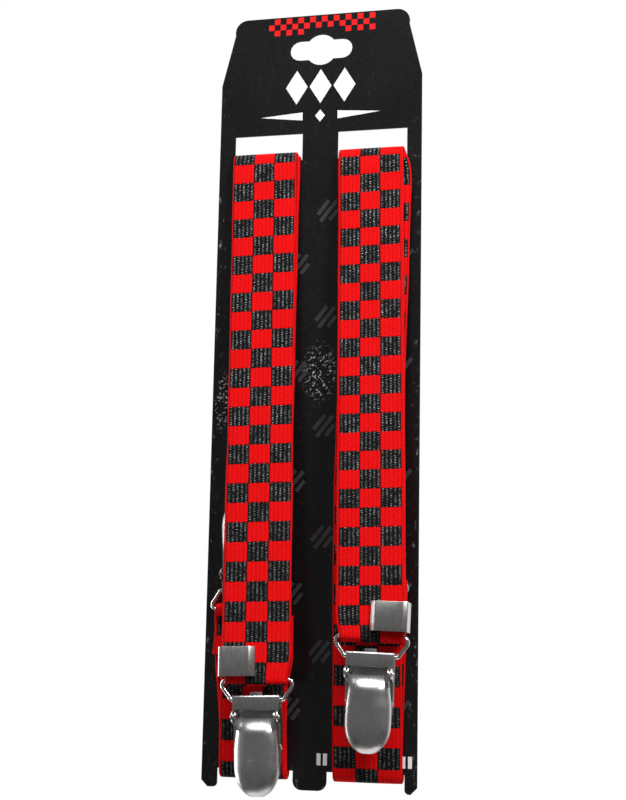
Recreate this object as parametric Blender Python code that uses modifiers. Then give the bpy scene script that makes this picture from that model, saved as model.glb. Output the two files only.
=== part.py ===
"""Elastic clip suspenders, X-back with four clips, wound on their hanging card.

The card hangs upright in the XZ plane and faces -Y. The origin is where a peg bears, at the top of the
card's hang slot, halfway through the card's thickness. Metres, +Z up, +X to the viewer's right.
"""

import math

import bmesh
import bpy
from mathutils import Euler, Matrix, Vector

MM = 0.001
GAP = 0.3 * MM

# Display card: a thin board with a hang slot, two strap slots and two strap notches.
CARD_THICKNESS = 0.6 * MM
CARD_HALF_WIDTH = 40.25 * MM
CARD_TOP = 8.2 * MM
CARD_BOTTOM = -290.2 * MM
CARD_SHOULDER_Z = -19.0 * MM
CARD_CROWN_HALF_WIDTH = 35.3 * MM
CARD_CORNER_RADIUS = 5.0 * MM
MIDDLE_TAB_RADIUS = 3.2 * MM
SIDE_TAB_RADIUS = 1.6 * MM
SIDE_TAB_CHAMFER = 2.4 * MM
HANG_SLOT_HALF_WIDTH = 12.5 * MM
HANG_WING_RADIUS = 4.0 * MM
HANG_BUMP_RADIUS = 6.35 * MM
STRAP_SLOT_TOP = -40.6 * MM
STRAP_SLOT_BOTTOM = -51.4 * MM
STRAP_SLOT_HALF_WIDTH = 13.6 * MM
NOTCH_TOP = -283.4 * MM
NOTCH_HALF_WIDTH = 14.3 * MM
SLOT_CENTRE = {"left": -20.4 * MM, "right": 21.0 * MM}
NOTCH_CENTRE = {"left": -19.9 * MM, "right": 21.35 * MM}

# Elastic webbing, 1 inch wide. Plies stack outwards from the card in levels.
WEB_WIDTH = 25.4 * MM
WEB_THICKNESS = 1.2 * MM
FOLD_WIDTH = 23.2 * MM
FOLD_TAPER = 7.0 * MM
TILT_FADE = 95.0 * MM
LEVEL_1 = CARD_THICKNESS / 2 + GAP + WEB_THICKNESS / 2
LEVEL_2 = LEVEL_1 + WEB_THICKNESS + GAP
LEVEL_3 = LEVEL_2 + WEB_THICKNESS + GAP
WRAP_STEPS = 8

# Clips: nickel-plated pressed steel. Each is drawn hanging below its loop's upper bar.
WIRE_RADIUS = 0.8 * MM
FOLD_RADIUS = WIRE_RADIUS + 0.25 * MM + WEB_THICKNESS / 2
LOOP_HALF_WIDTH = 13.05 * MM
LOOP_FOOT_HALF_WIDTH = 10.0 * MM
LOOP_DROP = 7.0 * MM
LOOP_CORNER_RADIUS = 1.7 * MM
SHEET = 0.6 * MM
BOX_WIDTH = 17.3 * MM
LEVER_SHEET = 0.7 * MM
LEVER_TOP = -13.4 * MM
LEVER_LENGTH = 27.6 * MM
LEVER_HALF_WIDTH = 8.35 * MM
LEVER_NECK_HALF_WIDTH = 7.55 * MM
LEVER_RIM_DEPTH = -1.5 * MM
LEVER_DOME = 3.7 * MM
PIVOT = Vector((0.0, -3.2 * MM, -12.8 * MM))
PIN_RADIUS = 0.75 * MM
PIN_HOLE_RADIUS = 1.05 * MM
EAR_RADIUS = 2.0 * MM
FLANGE_DEPTH = -0.8 * MM
FLANGE_FOOT = -24.5 * MM
CHEEK_RADIUS = 1.6 * MM
CHEEK_OFFSET = 7.2 * MM
CHEEK_FOOT = -17.5 * MM
JAW_HINGE_Z = -7.0 * MM
TONGUE_DEPTH = -1.4 * MM
TONGUE_WIDTH = 4.4 * MM
JAW_WIDTH = 12.6 * MM
TIP_TOP = -31.0 * MM
TIP_HALF_WIDTH = 7.7 * MM
TIP_LENGTH = 8.9 * MM

# Front clips hang in the lower folds; the back clips lie upside down under the front plies.
FRONT_BAR = {
    "left": Vector((-15.9 * MM, -15.0 * MM, -250.8 * MM)),
    "right": Vector((25.6 * MM, -13.9 * MM, -234.6 * MM)),
}
FRONT_TILT = {"left": math.radians(-2.0), "right": math.radians(1.5)}
BACK_BAR = {
    "left": Vector((-23.9 * MM, -(LEVEL_1 + FOLD_RADIUS), -225.0 * MM)),
    "right": Vector((23.4 * MM, -(LEVEL_1 + FOLD_RADIUS), -219.0 * MM)),
}
BACK_TILT = {"left": math.radians(-3.0), "right": math.radians(-1.0)}
FRONT_TOP_X = {"left": -21.2 * MM, "right": 20.9 * MM}
SECOND_TOP_X = {"left": -20.1 * MM, "right": 21.5 * MM}
SECOND_NECK_X = {"left": -19.9 * MM, "right": 23.9 * MM}
SECOND_NECK_DROP = 9.0 * MM
SECOND_MID_X = {"left": -18.9 * MM, "right": 22.6 * MM}
SECOND_BOTTOM_X = {"left": -20.2 * MM, "right": 22.4 * MM}
OVER_CLIP_DEPTH = 8.95 * MM
OVER_CLIP_TOP = -180.0 * MM
OVER_CLIP_BOTTOM = -208.0 * MM
TAIL_LENGTH = {"left": 23.0 * MM, "right": 20.0 * MM}
SEWN_END_LENGTH = 17.0 * MM
BACK_PLY_END = 0.96
CROSSING_RISE_SHARE = 0.24

# Slide adjusters: C-shaped clamps round the outer half of each doubled front end.
ADJUSTER_CENTRE_Z = {"left": -244.3 * MM, "right": -227.5 * MM}
ADJUSTER_HEIGHT = 10.6 * MM
OUTWARD = {"left": -1.0, "right": 1.0}

PATCH_HALF_WIDTH = 11.5 * MM
PATCH_HALF_HEIGHT = 17.0 * MM
PATCH_THICKNESS = 1.2 * MM
PATCH_WAIST = 0.55
PATCH_SEAM_INSET = 2.2 * MM
SEWN_END_SEAM_HALF_WIDTH = 9.0 * MM
THREAD_RADIUS = 0.3 * MM
THREAD_LIFT = THREAD_RADIUS + 0.1 * MM

NICKEL = ((0.62, 0.61, 0.60, 1.0), 0.22, 1.0)
WIRE_NICKEL = ((0.70, 0.69, 0.68, 1.0), 0.18, 1.0)
RED_WEBBING = ((0.80, 0.01, 0.01, 1.0), 0.75, 0.0)
BLACK_CARD = ((0.012, 0.012, 0.014, 1.0), 0.30, 0.0)
BLACK_LEATHERETTE = ((0.02, 0.02, 0.02, 1.0), 0.55, 0.0)
RED_THREAD = ((0.70, 0.01, 0.01, 1.0), 0.70, 0.0)

for item in list(bpy.data.objects):
    bpy.data.objects.remove(item, do_unlink=True)

parts = bpy.data.collections.new("clip_suspenders")
cutters = bpy.data.collections.new("cutters")
for group in (parts, cutters):
    bpy.context.scene.collection.children.link(group)


# ---------------------------------------------------------------- helpers


def paint(obj, look):
    """Gives the object a Principled material of its own."""
    colour, roughness, metallic = look
    material = bpy.data.materials.new(obj.name)
    material.use_nodes = True
    shader = material.node_tree.nodes["Principled BSDF"]
    shader.inputs["Base Color"].default_value = colour
    shader.inputs["Roughness"].default_value = roughness
    shader.inputs["Metallic"].default_value = metallic
    obj.data.materials.append(material)
    return obj


def mesh_object(name, bm, group=parts):
    mesh = bpy.data.meshes.new(name)
    bm.to_mesh(mesh)
    bm.free()
    obj = bpy.data.objects.new(name, mesh)
    group.objects.link(obj)
    return obj


def curve_object(name, loops, cyclic=True, dimensions="2D"):
    """A POLY curve with one spline for each loop of points."""
    curve = bpy.data.curves.new(name, "CURVE")
    curve.dimensions = dimensions
    for loop in loops:
        spline = curve.splines.new("POLY")
        spline.points.add(len(loop) - 1)
        for point, place in zip(spline.points, loop):
            point.co = (*place, 0.0, 1.0) if len(place) == 2 else (*place, 1.0)
        spline.use_cyclic_u = cyclic
    obj = bpy.data.objects.new(name, curve)
    parts.objects.link(obj)
    return obj


def to_mesh(obj):
    """Replaces a curve by its mesh, with the caps welded on."""
    bpy.context.view_layer.update()
    evaluated = obj.evaluated_get(bpy.context.evaluated_depsgraph_get())
    mesh = bpy.data.meshes.new_from_object(evaluated)
    bm = bmesh.new()
    bm.from_mesh(mesh)
    bmesh.ops.remove_doubles(bm, verts=bm.verts, dist=0.001 * MM)
    bmesh.ops.recalc_face_normals(bm, faces=bm.faces)
    bm.to_mesh(mesh)
    bm.free()
    name, place = obj.name, obj.matrix_world.copy()
    curve = obj.data
    bpy.data.objects.remove(obj)
    bpy.data.curves.remove(curve)
    solid = bpy.data.objects.new(name, mesh)
    solid.matrix_world = place
    parts.objects.link(solid)
    return solid


def smooth(obj, degrees=35):
    obj.data.shade_smooth()
    obj.data.set_sharp_from_angle(angle=math.radians(degrees))
    return obj


def solidify(obj, thickness, offset=0.0):
    modifier = obj.modifiers.new("sheet", "SOLIDIFY")
    modifier.thickness = thickness
    modifier.offset = offset
    modifier.use_even_offset = True
    return obj


def boolean(obj, tool, operation):
    modifier = obj.modifiers.new(operation.lower(), "BOOLEAN")
    modifier.operation = operation
    modifier.solver = "EXACT"
    modifier.object = tool
    return obj


def apply_modifiers(obj):
    """Replaces the object's mesh by what its modifiers make of it."""
    bpy.context.view_layer.update()
    evaluated = obj.evaluated_get(bpy.context.evaluated_depsgraph_get())
    mesh = bpy.data.meshes.new_from_object(evaluated)
    obj.modifiers.clear()
    obj.data = mesh
    return obj


def helper(obj):
    """Marks a cutter or a joining tool, which is no part of the object."""
    for group in list(obj.users_collection):
        group.objects.unlink(obj)
    cutters.objects.link(obj)
    obj.hide_render = True
    obj.display_type = "WIRE"
    return obj


def box_tool(name, low, high):
    bm = bmesh.new()
    bmesh.ops.create_cube(bm, size=1.0)
    low, high = Vector(low), Vector(high)
    bmesh.ops.scale(bm, vec=high - low, verts=bm.verts)
    bmesh.ops.translate(bm, vec=(low + high) / 2, verts=bm.verts)
    return helper(mesh_object(name, bm))


def rod_tool(name, x_from, x_to, depth, height, radius, segments=16):
    """A cylinder along X between two x values."""
    bm = bmesh.new()
    turn = Matrix.Rotation(math.pi / 2, 4, "Y")
    middle = Matrix.Translation(((x_from + x_to) / 2, depth, height))
    bmesh.ops.create_cone(
        bm,
        cap_ends=True,
        segments=segments,
        radius1=radius,
        radius2=radius,
        depth=abs(x_to - x_from),
        matrix=middle @ turn,
    )
    return helper(mesh_object(name, bm))


def arc(centre, radius, start, end, steps):
    """Points on an arc, with angles in degrees."""
    points = []
    for step in range(steps + 1):
        angle = math.radians(start + (end - start) * step / steps)
        points.append(
            (centre[0] + radius * math.cos(angle), centre[1] + radius * math.sin(angle))
        )
    return points


def filleted(points, radius, steps=3):
    """The same open path with each inner corner rounded."""
    path = [Vector(points[0])]
    for before, corner, after in zip(points, points[1:], points[2:]):
        before, corner, after = Vector(before), Vector(corner), Vector(after)
        back, ahead = before - corner, after - corner
        half = back.angle(ahead) / 2
        reach = min(radius / math.tan(half), 0.45 * back.length, 0.45 * ahead.length)
        start, end = corner + back.normalized() * reach, corner + ahead.normalized() * reach
        for step in range(steps + 1):
            t = step / steps
            path.append(start * (1 - t) ** 2 + corner * 2 * t * (1 - t) + end * t**2)
    path.append(Vector(points[-1]))
    return path


def ease(t):
    """Smoothstep, held at 0 and 1 outside the range."""
    t = min(max(t, 0.0), 1.0)
    return t * t * (3 - 2 * t)


def between(a, b, t):
    return a + (b - a) * t


# ---------------------------------------------------------------- card


def card_outline():
    """Half crown, side and tabs, walked anticlockwise from the top right corner."""
    def corner(sign):
        centre = (sign * (CARD_CROWN_HALF_WIDTH - CARD_CORNER_RADIUS), CARD_TOP - CARD_CORNER_RADIUS)
        start, end = (-14, 90) if sign > 0 else (90, 194)
        return arc(centre, CARD_CORNER_RADIUS, start, end, 6)

    def notch(side, before, after):
        """A square notch, between a tab rounded to one radius and a tab rounded to another."""
        middle = NOTCH_CENTRE[side]
        low, high = middle - NOTCH_HALF_WIDTH, middle + NOTCH_HALF_WIDTH
        return [
            *arc((low - before, CARD_BOTTOM + before), before, 270, 360, 4),
            (low, NOTCH_TOP),
            (high, NOTCH_TOP),
            *arc((high + after, CARD_BOTTOM + after), after, 180, 270, 4),
        ]

    side_z = [CARD_SHOULDER_Z, CARD_BOTTOM + SIDE_TAB_CHAMFER]
    return [
        *corner(1),
        *corner(-1),
        *[(-CARD_HALF_WIDTH, z) for z in side_z],
        (-CARD_HALF_WIDTH + SIDE_TAB_CHAMFER, CARD_BOTTOM),
        *notch("left", SIDE_TAB_RADIUS, MIDDLE_TAB_RADIUS),
        *notch("right", MIDDLE_TAB_RADIUS, SIDE_TAB_RADIUS),
        (CARD_HALF_WIDTH - SIDE_TAB_CHAMFER, CARD_BOTTOM),
        *[(CARD_HALF_WIDTH, z) for z in reversed(side_z)],
    ]


def hang_slot_outline():
    """A wide slot with round ends and a round bump above and below its middle."""
    r, bump = HANG_WING_RADIUS, HANG_BUMP_RADIUS
    centre_z = -bump
    end_x = HANG_SLOT_HALF_WIDTH - r
    meet = math.degrees(math.asin(r / bump))
    return [
        *arc((0.0, centre_z), bump, meet, 180 - meet, 8),
        *arc((-end_x, centre_z), r, 90, 270, 8),
        *arc((0.0, centre_z), bump, 180 + meet, 360 - meet, 8),
        *arc((end_x, centre_z), r, -90, 90, 8),
    ]


def strap_slot_outline(side):
    low = SLOT_CENTRE[side] - STRAP_SLOT_HALF_WIDTH
    high = SLOT_CENTRE[side] + STRAP_SLOT_HALF_WIDTH
    return [
        (low, STRAP_SLOT_BOTTOM),
        (high, STRAP_SLOT_BOTTOM),
        (high, STRAP_SLOT_TOP),
        (low, STRAP_SLOT_TOP),
    ]


def flat_board(name, outlines, thickness, depth):
    """A flat outline in the XZ plane, centred on the given depth."""
    obj = curve_object(name, outlines)
    obj.data.fill_mode = "BOTH"
    obj.data.extrude = thickness / 2
    obj.rotation_euler = (math.pi / 2, 0, 0)
    obj.location.y = depth
    return obj


def make_card():
    outlines = [card_outline(), hang_slot_outline()]
    outlines += [strap_slot_outline(side) for side in ("left", "right")]
    paint(flat_board("display_card", outlines, CARD_THICKNESS, 0.0), BLACK_CARD)


# ---------------------------------------------------------------- webbing


class Route:
    """Stations along the middle of a strap: place, width and sideways slant of the weave."""

    def __init__(self):
        self.stations = []

    def add(self, x, y, z, width=WEB_WIDTH, slant=0.0):
        self.stations.append((Vector((x, y, z)), width, slant))

    def line(self, start, end, steps):
        """Stations after the start, up to and including the end."""
        for step in range(1, steps + 1):
            self.add(*between(Vector(start), Vector(end), step / steps))

    def wrap(self, x, z, level, over_top, towards_back):
        """Half a turn round a card edge at height z, from one face of the card to the other."""
        rise = 1 if over_top else -1
        face = -1 if towards_back else 1
        for step in range(WRAP_STEPS + 1):
            angle = math.pi * step / WRAP_STEPS
            self.add(x, face * level * math.cos(angle), z + rise * level * math.sin(angle))

    def build(self, name):
        """A flat strip, one cell wide, laid along the route and given the webbing's thickness."""
        bm = bmesh.new()
        last = len(self.stations) - 1
        bmesh.ops.create_grid(bm, x_segments=last, y_segments=1, size=1.0)
        for vert in bm.verts:
            index = round((vert.co.x + 1) / 2 * last)
            place, width, slant = self.stations[index]
            run = self.stations[min(index + 1, last)][0] - self.stations[max(index - 1, 0)][0]
            lean = abs(run.x) / max(run.length, 1e-9)
            across = vert.co.y * width / 2 / math.sqrt(1 - lean**2)
            shift = Vector((across * math.cos(slant), 0.0, -across * math.sin(slant)))
            vert.co = place + shift
        obj = solidify(mesh_object(name, bm), WEB_THICKNESS)
        return paint(smooth(obj, 50), RED_WEBBING)


def front_ply_direction(side):
    """Unit vector up the front ply, in the YZ plane."""
    bar = FRONT_BAR[side]
    return Vector((0.0, -LEVEL_2 - (bar.y - FOLD_RADIUS), STRAP_SLOT_BOTTOM - bar.z)).normalized()


def add_front_end(route, side):
    """Turned tail, the fold round the loop's bar, and the front ply up to the strap slot."""
    bar, tilt = FRONT_BAR[side], FRONT_TILT[side]
    up = front_ply_direction(side)
    forward = Vector((0.0, -up.z, up.y))
    top_x = FRONT_TOP_X[side]
    slope = (top_x - bar.x) / (STRAP_SLOT_BOTTOM - bar.z)
    def put(place, rise):
        width = between(FOLD_WIDTH, WEB_WIDTH, ease(rise / FOLD_TAPER))
        slant = tilt * (1 - ease(rise / TILT_FADE))
        route.add(bar.x + slope * max(rise, 0.0), place.y, place.z, width, slant)

    tail_stops = [TAIL_LENGTH[side] * share for share in (1.0, 0.75, 0.5, 0.3, 0.2, 0.1)]
    for rise in tail_stops:
        put(bar - forward * FOLD_RADIUS + up * rise, rise)
    for step in range(WRAP_STEPS + 1):
        angle = math.pi * step / WRAP_STEPS
        put(bar - (forward * math.cos(angle) + up * math.sin(angle)) * FOLD_RADIUS, 0.0)
    start = bar + forward * FOLD_RADIUS
    end = Vector((0.0, -LEVEL_2, STRAP_SLOT_BOTTOM))
    length = (end - start).yz.length
    for rise in (2 * MM, 4 * MM, FOLD_TAPER, *[length * step / 14 for step in range(1, 14)]):
        put(between(start, end, rise / length), rise)
    return top_x


def add_second_ply(route, side):
    """From the notch up over the back clip to the strap slot, sliding sideways into the slot."""
    fall = (OVER_CLIP_DEPTH - LEVEL_1) / (OVER_CLIP_TOP - STRAP_SLOT_BOTTOM)
    neck_depth = LEVEL_1 - fall * SECOND_NECK_DROP
    stops = [
        (SECOND_BOTTOM_X[side], LEVEL_2, NOTCH_TOP, 0),
        (SECOND_MID_X[side], OVER_CLIP_DEPTH, OVER_CLIP_BOTTOM, 8),
        (SECOND_MID_X[side], OVER_CLIP_DEPTH, OVER_CLIP_TOP, 2),
        (SECOND_NECK_X[side], neck_depth, STRAP_SLOT_BOTTOM - SECOND_NECK_DROP, 11),
        (SECOND_TOP_X[side], LEVEL_1, STRAP_SLOT_BOTTOM, 5),
    ]
    for (x0, y0, z0, _), (x1, y1, z1, steps) in zip(stops, stops[1:]):
        for step in range(1, steps + (z1 != STRAP_SLOT_BOTTOM)):
            t = step / steps
            route.add(between(x0, x1, ease(t)), -between(y0, y1, t), between(z0, z1, t))


def add_back_end(route, side):
    """The short ply up to the back clip, its fold round the loop's bar, and the sewn end."""
    bar, tilt = BACK_BAR[side], BACK_TILT[side]
    bottom_x = SECOND_BOTTOM_X[side]
    neck = between(FOLD_WIDTH, WEB_WIDTH, 0.5)
    steps = 5
    rise = bar.z - NOTCH_TOP
    for step in range(1, steps + 1):
        t = step / steps
        width = WEB_WIDTH if step < steps else neck
        x = between(bottom_x, bar.x, ease(t))
        route.add(x, -LEVEL_1, NOTCH_TOP + rise * t * BACK_PLY_END, width, tilt * ease(t))
    for step in range(WRAP_STEPS + 1):
        angle = math.pi * step / WRAP_STEPS
        y = bar.y + FOLD_RADIUS * math.cos(angle)
        route.add(bar.x, y, bar.z + FOLD_RADIUS * math.sin(angle), FOLD_WIDTH, tilt)
    for drop, level in ((2.5, LEVEL_2 + 0.9 * MM), (5.5, LEVEL_2), (11.0, LEVEL_2)):
        route.add(bar.x, -level, bar.z - drop * MM, neck, tilt)
    route.add(bar.x, -LEVEL_2, bar.z - SEWN_END_LENGTH, WEB_WIDTH, tilt)


def make_strap(side, other, raised):
    """One strap, from the front clip on its own side to the back clip on the other side."""
    route = Route()
    top_x = add_front_end(route, side)
    route.wrap(top_x, STRAP_SLOT_BOTTOM, LEVEL_2, over_top=True, towards_back=True)
    bottom_x = SECOND_BOTTOM_X[other]
    steps = 26
    for step in range(1, steps):
        t = step / steps
        lift = ease(t / CROSSING_RISE_SHARE) * ease((1 - t) / CROSSING_RISE_SHARE)
        level = between(LEVEL_2, LEVEL_3, lift) if raised else LEVEL_2
        route.add(between(top_x, bottom_x, ease(t)), level, between(STRAP_SLOT_BOTTOM, NOTCH_TOP, t))
    route.wrap(bottom_x, NOTCH_TOP, LEVEL_2, over_top=False, towards_back=False)
    add_second_ply(route, other)
    second_x = SECOND_TOP_X[other]
    route.wrap(second_x, STRAP_SLOT_BOTTOM, LEVEL_1, over_top=True, towards_back=True)
    route.line(
        (second_x, LEVEL_1, STRAP_SLOT_BOTTOM),
        (bottom_x, LEVEL_1, NOTCH_TOP + 1 * MM),
        6,
    )
    route.wrap(bottom_x, NOTCH_TOP, LEVEL_1, over_top=False, towards_back=False)
    add_back_end(route, other)
    return route.build(f"strap_{side}_front_to_{other}_back")


def thread_loop(name, outline, depth):
    """A closed line of stitching lying on a flat face."""
    obj = curve_object(name, [[(x, depth, z) for x, z in outline]], dimensions="3D")
    obj.data.bevel_depth = THREAD_RADIUS
    obj.data.bevel_resolution = 2
    return paint(obj, RED_THREAD)


def make_patch():
    """A leatherette patch sewn over the crossing, on the side away from the card."""
    x = (FRONT_TOP_X["left"] + FRONT_TOP_X["right"] + SECOND_BOTTOM_X["left"] + SECOND_BOTTOM_X["right"]) / 4
    z = (STRAP_SLOT_BOTTOM + NOTCH_TOP) / 2
    inner = LEVEL_3 + WEB_THICKNESS / 2 + GAP

    def hexagon(inset):
        half_w, half_h = PATCH_HALF_WIDTH - inset, PATCH_HALF_HEIGHT - inset
        waist = half_h * PATCH_WAIST
        return [
            (x - half_w, z - waist),
            (x, z - half_h),
            (x + half_w, z - waist),
            (x + half_w, z + waist),
            (x, z + half_h),
            (x - half_w, z + waist),
        ]

    patch = flat_board("cross_patch", [hexagon(0.0)], PATCH_THICKNESS, inner + PATCH_THICKNESS / 2)
    paint(patch, BLACK_LEATHERETTE)
    outer = inner + PATCH_THICKNESS + THREAD_LIFT
    thread_loop("cross_patch_stitching", hexagon(PATCH_SEAM_INSET), outer)


def make_sewn_end_stitching(side):
    bar = BACK_BAR[side]
    half_w = SEWN_END_SEAM_HALF_WIDTH
    top, bottom = bar.z - 8 * MM, bar.z - SEWN_END_LENGTH + 2 * MM
    outline = [
        (bar.x - half_w, bottom),
        (bar.x + half_w, bottom),
        (bar.x + half_w, top),
        (bar.x - half_w, top),
    ]
    depth = -(LEVEL_2 + WEB_THICKNESS / 2 + THREAD_LIFT)
    thread_loop(f"back_end_stitching_{side}", outline, depth)


# ---------------------------------------------------------------- clips


def bent_strip(name, profile, width, thickness):
    """Sheet metal bent to a side profile of (depth, height) points, of one width across X."""
    obj = curve_object(name, [[tuple(point) for point in profile]], cyclic=False)
    obj.data.fill_mode = "NONE"
    obj.data.extrude = width / 2
    obj.matrix_world = Matrix(((0, 0, 1, 0), (1, 0, 0, 0), (0, 1, 0, 0), (0, 0, 0, 1)))
    obj = to_mesh(obj)
    obj.data.transform(obj.matrix_world)
    obj.matrix_world = Matrix.Identity(4)
    return solidify(obj, thickness)


def narrow(obj, below, factor):
    """Draws the sides in below a height."""
    for vert in obj.data.vertices:
        if vert.co.z < below:
            vert.co.x *= factor


def tip_tool(name):
    """The waste round a jaw's rounded tip, which keeps it inside the lever's outline."""
    steps = 12
    outline = [
        (
            TIP_HALF_WIDTH * math.cos(math.pi * step / steps),
            TIP_TOP - TIP_LENGTH * math.sin(math.pi * step / steps),
        )
        for step in range(steps + 1)
    ]
    side, below = BOX_WIDTH, TIP_TOP - 2 * TIP_LENGTH
    outline += [(-side, TIP_TOP), (-side, below), (side, below), (side, TIP_TOP)]
    return helper(to_mesh(flat_board(name + "_tip_tool", [outline], BOX_WIDTH / 2, 0.0)))


def place(obj, holder, look, pivot=(0.0, 0.0, 0.0)):
    """Bakes the shape, sets its origin on its pivot, and hangs it on its clip's empty."""
    obj = apply_modifiers(obj)
    obj.data.transform(Matrix.Translation(-Vector(pivot)))
    smooth(obj)
    obj.data.materials.clear()
    paint(obj, look)
    obj.parent = holder
    obj.location = pivot
    return obj


def make_loop(name, holder):
    """Bent wire: a bar as wide as the strap's fold, legs drawn in, and a bar through the box."""
    r = LOOP_CORNER_RADIUS
    top, foot = LOOP_HALF_WIDTH, LOOP_FOOT_HALF_WIDTH
    knee = (foot, -LOOP_DROP + 1.6 * MM)
    right_half = [
        (0.0, 0.0),
        *arc((top - r, -r), r, 90, -38, 5),
        *arc((knee[0] - 0.9 * MM, -LOOP_DROP + 1.2 * MM), 1.2 * MM, -15, -90, 3),
        (0.0, -LOOP_DROP),
    ]
    left_half = [(-x, z) for x, z in reversed(right_half[1:-1])]
    obj = curve_object(name, [[(x, 0.0, z) for x, z in right_half + left_half]], dimensions="3D")
    obj.data.bevel_depth = WIRE_RADIUS
    obj.data.bevel_resolution = 2
    return place(to_mesh(obj), holder, WIRE_NICKEL)


def make_back_plate(name, holder):
    """Box rolled round the loop's lower bar, back jaw, and two ears that carry the lever's pins."""
    profile = [
        (-2.3, -10.3),
        (-2.3, -5.6),
        (1.4, -5.6),
        (1.4, -10.0),
        (1.9, -14.0),
        (1.9, -17.5),
        (1.9, -35.0),
        (0.75, -39.2),
    ]
    profile = filleted([(y * MM, z * MM) for y, z in profile], 0.7 * MM)
    plate = bent_strip(name, profile, BOX_WIDTH, SHEET)
    narrow(plate, FLANGE_FOOT, 0.88)
    slot = box_tool(
        name + "_tongue_slot",
        (-TONGUE_WIDTH / 2 - GAP, TONGUE_DEPTH - 0.6 * MM, -6.2 * MM),
        (TONGUE_WIDTH / 2 + GAP, TONGUE_DEPTH + 0.6 * MM, -5.0 * MM),
    )
    boolean(plate, slot, "DIFFERENCE")
    boolean(plate, tip_tool(name), "DIFFERENCE")
    outer, inner = BOX_WIDTH / 2, BOX_WIDTH / 2 - SHEET
    for hand, sign in (("a", -1), ("b", 1)):
        ear_points = [
            *arc((PIVOT.y, PIVOT.z), EAR_RADIUS, 90, 270, 8),
            (FLANGE_DEPTH, PIVOT.z - EAR_RADIUS - 1 * MM),
            (FLANGE_DEPTH, FLANGE_FOOT + 2 * MM),
            (1.75 * MM, FLANGE_FOOT),
            (1.45 * MM, -9.6 * MM),
            (-0.6 * MM, -9.6 * MM),
        ]
        ear = curve_object(f"{name}_ear_{hand}", [ear_points])
        ear.data.fill_mode = "BOTH"
        ear.data.extrude = SHEET / 2
        ear.matrix_world = Matrix(
            ((0, 0, 1, sign * (outer + inner) / 2), (1, 0, 0, 0), (0, 1, 0, 0), (0, 0, 0, 1))
        )
        boolean(plate, helper(to_mesh(ear)), "UNION")
        pin = rod_tool(
            f"{name}_pin_{hand}", sign * 7.1 * MM, sign * 9.3 * MM, PIVOT.y, PIVOT.z, PIN_RADIUS, 12
        )
        boolean(plate, pin, "UNION")
    return place(plate, holder, NICKEL, (0.0, 0.0, -LOOP_DROP))


def make_front_jaw(name, holder):
    """Spring jaw: a tongue through the box's slot, and a plate that bears on the back jaw's tip."""
    profile = [
        (-1.4, -4.2),
        (-1.4, -9.2),
        (-0.7, -10.6),
        (-0.5, -14.0),
        (-0.1, -18.0),
        (0.0, -30.0),
        (-0.3, -39.0),
    ]
    profile = filleted([(y * MM, z * MM) for y, z in profile], 0.8 * MM)
    jaw = bent_strip(name, profile, JAW_WIDTH, SHEET)
    for hand, sign in (("a", -1), ("b", 1)):
        edges = sorted((sign * TONGUE_WIDTH / 2, sign * JAW_WIDTH))
        side_cut = box_tool(
            f"{name}_side_{hand}",
            (edges[0], -4 * MM, -9.4 * MM),
            (edges[1], 2 * MM, -3 * MM),
        )
        boolean(jaw, side_cut, "DIFFERENCE")
    boolean(jaw, tip_tool(name), "DIFFERENCE")
    return place(jaw, holder, NICKEL, (0.0, TONGUE_DEPTH, JAW_HINGE_Z))


def lever_point(u, v):
    """Outer face of the domed lever; u runs across from -1 to 1, v from its top edge to its tip."""
    swell = between(LEVER_NECK_HALF_WIDTH, LEVER_HALF_WIDTH, ease((v - 0.08) / 0.36))
    round_from = 0.60
    end = max(0.0, (v - round_from) / (1 - round_from))
    half_width = swell * math.sqrt(max(0.0, 1 - end**2.15))
    crown = (1 - abs(u) ** 2.8) ** 0.62
    shoulder = 0.45 + 0.55 * ease(v / 0.2)
    nose = math.sqrt(max(0.0, 1 - max(0.0, (v - 0.5) / 0.5) ** 3.0))
    depth = LEVER_RIM_DEPTH - LEVER_DOME * crown * shoulder * nose
    return Vector((u * half_width, depth, LEVER_TOP - LEVER_LENGTH * v))


def make_lever(name, holder):
    """Domed shell with two cheeks that turn on the ears' pins."""
    across, along = 12, 16
    bm = bmesh.new()
    bmesh.ops.create_grid(bm, x_segments=across, y_segments=along, size=1.0)
    for vert in bm.verts:
        u = math.sin(vert.co.x * math.pi / 2)
        t = (1 - vert.co.y) / 2
        v = 0.985 * (0.35 * t + 0.65 * (1 - math.cos(math.pi * t)) / 2)
        vert.co = lever_point(u, v)
    bmesh.ops.recalc_face_normals(bm, faces=bm.faces)
    lever = mesh_object(name, bm)
    if lever.data.polygons[len(lever.data.polygons) // 2].normal.y > 0:
        lever.data.flip_normals()
    solidify(lever, LEVER_SHEET, offset=-1.0)
    for hand, sign in (("a", -1), ("b", 1)):
        middle = sign * CHEEK_OFFSET
        cheek_points = [
            *arc((PIVOT.y, PIVOT.z), CHEEK_RADIUS, 0, 180, 8),
            (PIVOT.y - 0.9 * MM, CHEEK_FOOT),
            (-1.7 * MM, CHEEK_FOOT),
        ]
        cheek = curve_object(f"{name}_cheek_{hand}", [cheek_points])
        cheek.data.fill_mode = "BOTH"
        cheek.data.extrude = SHEET / 2
        cheek.matrix_world = Matrix(((0, 0, 1, middle), (1, 0, 0, 0), (0, 1, 0, 0), (0, 0, 0, 1)))
        boolean(lever, helper(to_mesh(cheek)), "UNION")
    reach = CHEEK_OFFSET + SHEET
    pin_hole = rod_tool(name + "_pin_hole", -reach, reach, PIVOT.y, PIVOT.z, PIN_HOLE_RADIUS)
    boolean(lever, pin_hole, "DIFFERENCE")
    return place(lever, holder, NICKEL, PIVOT)


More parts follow.
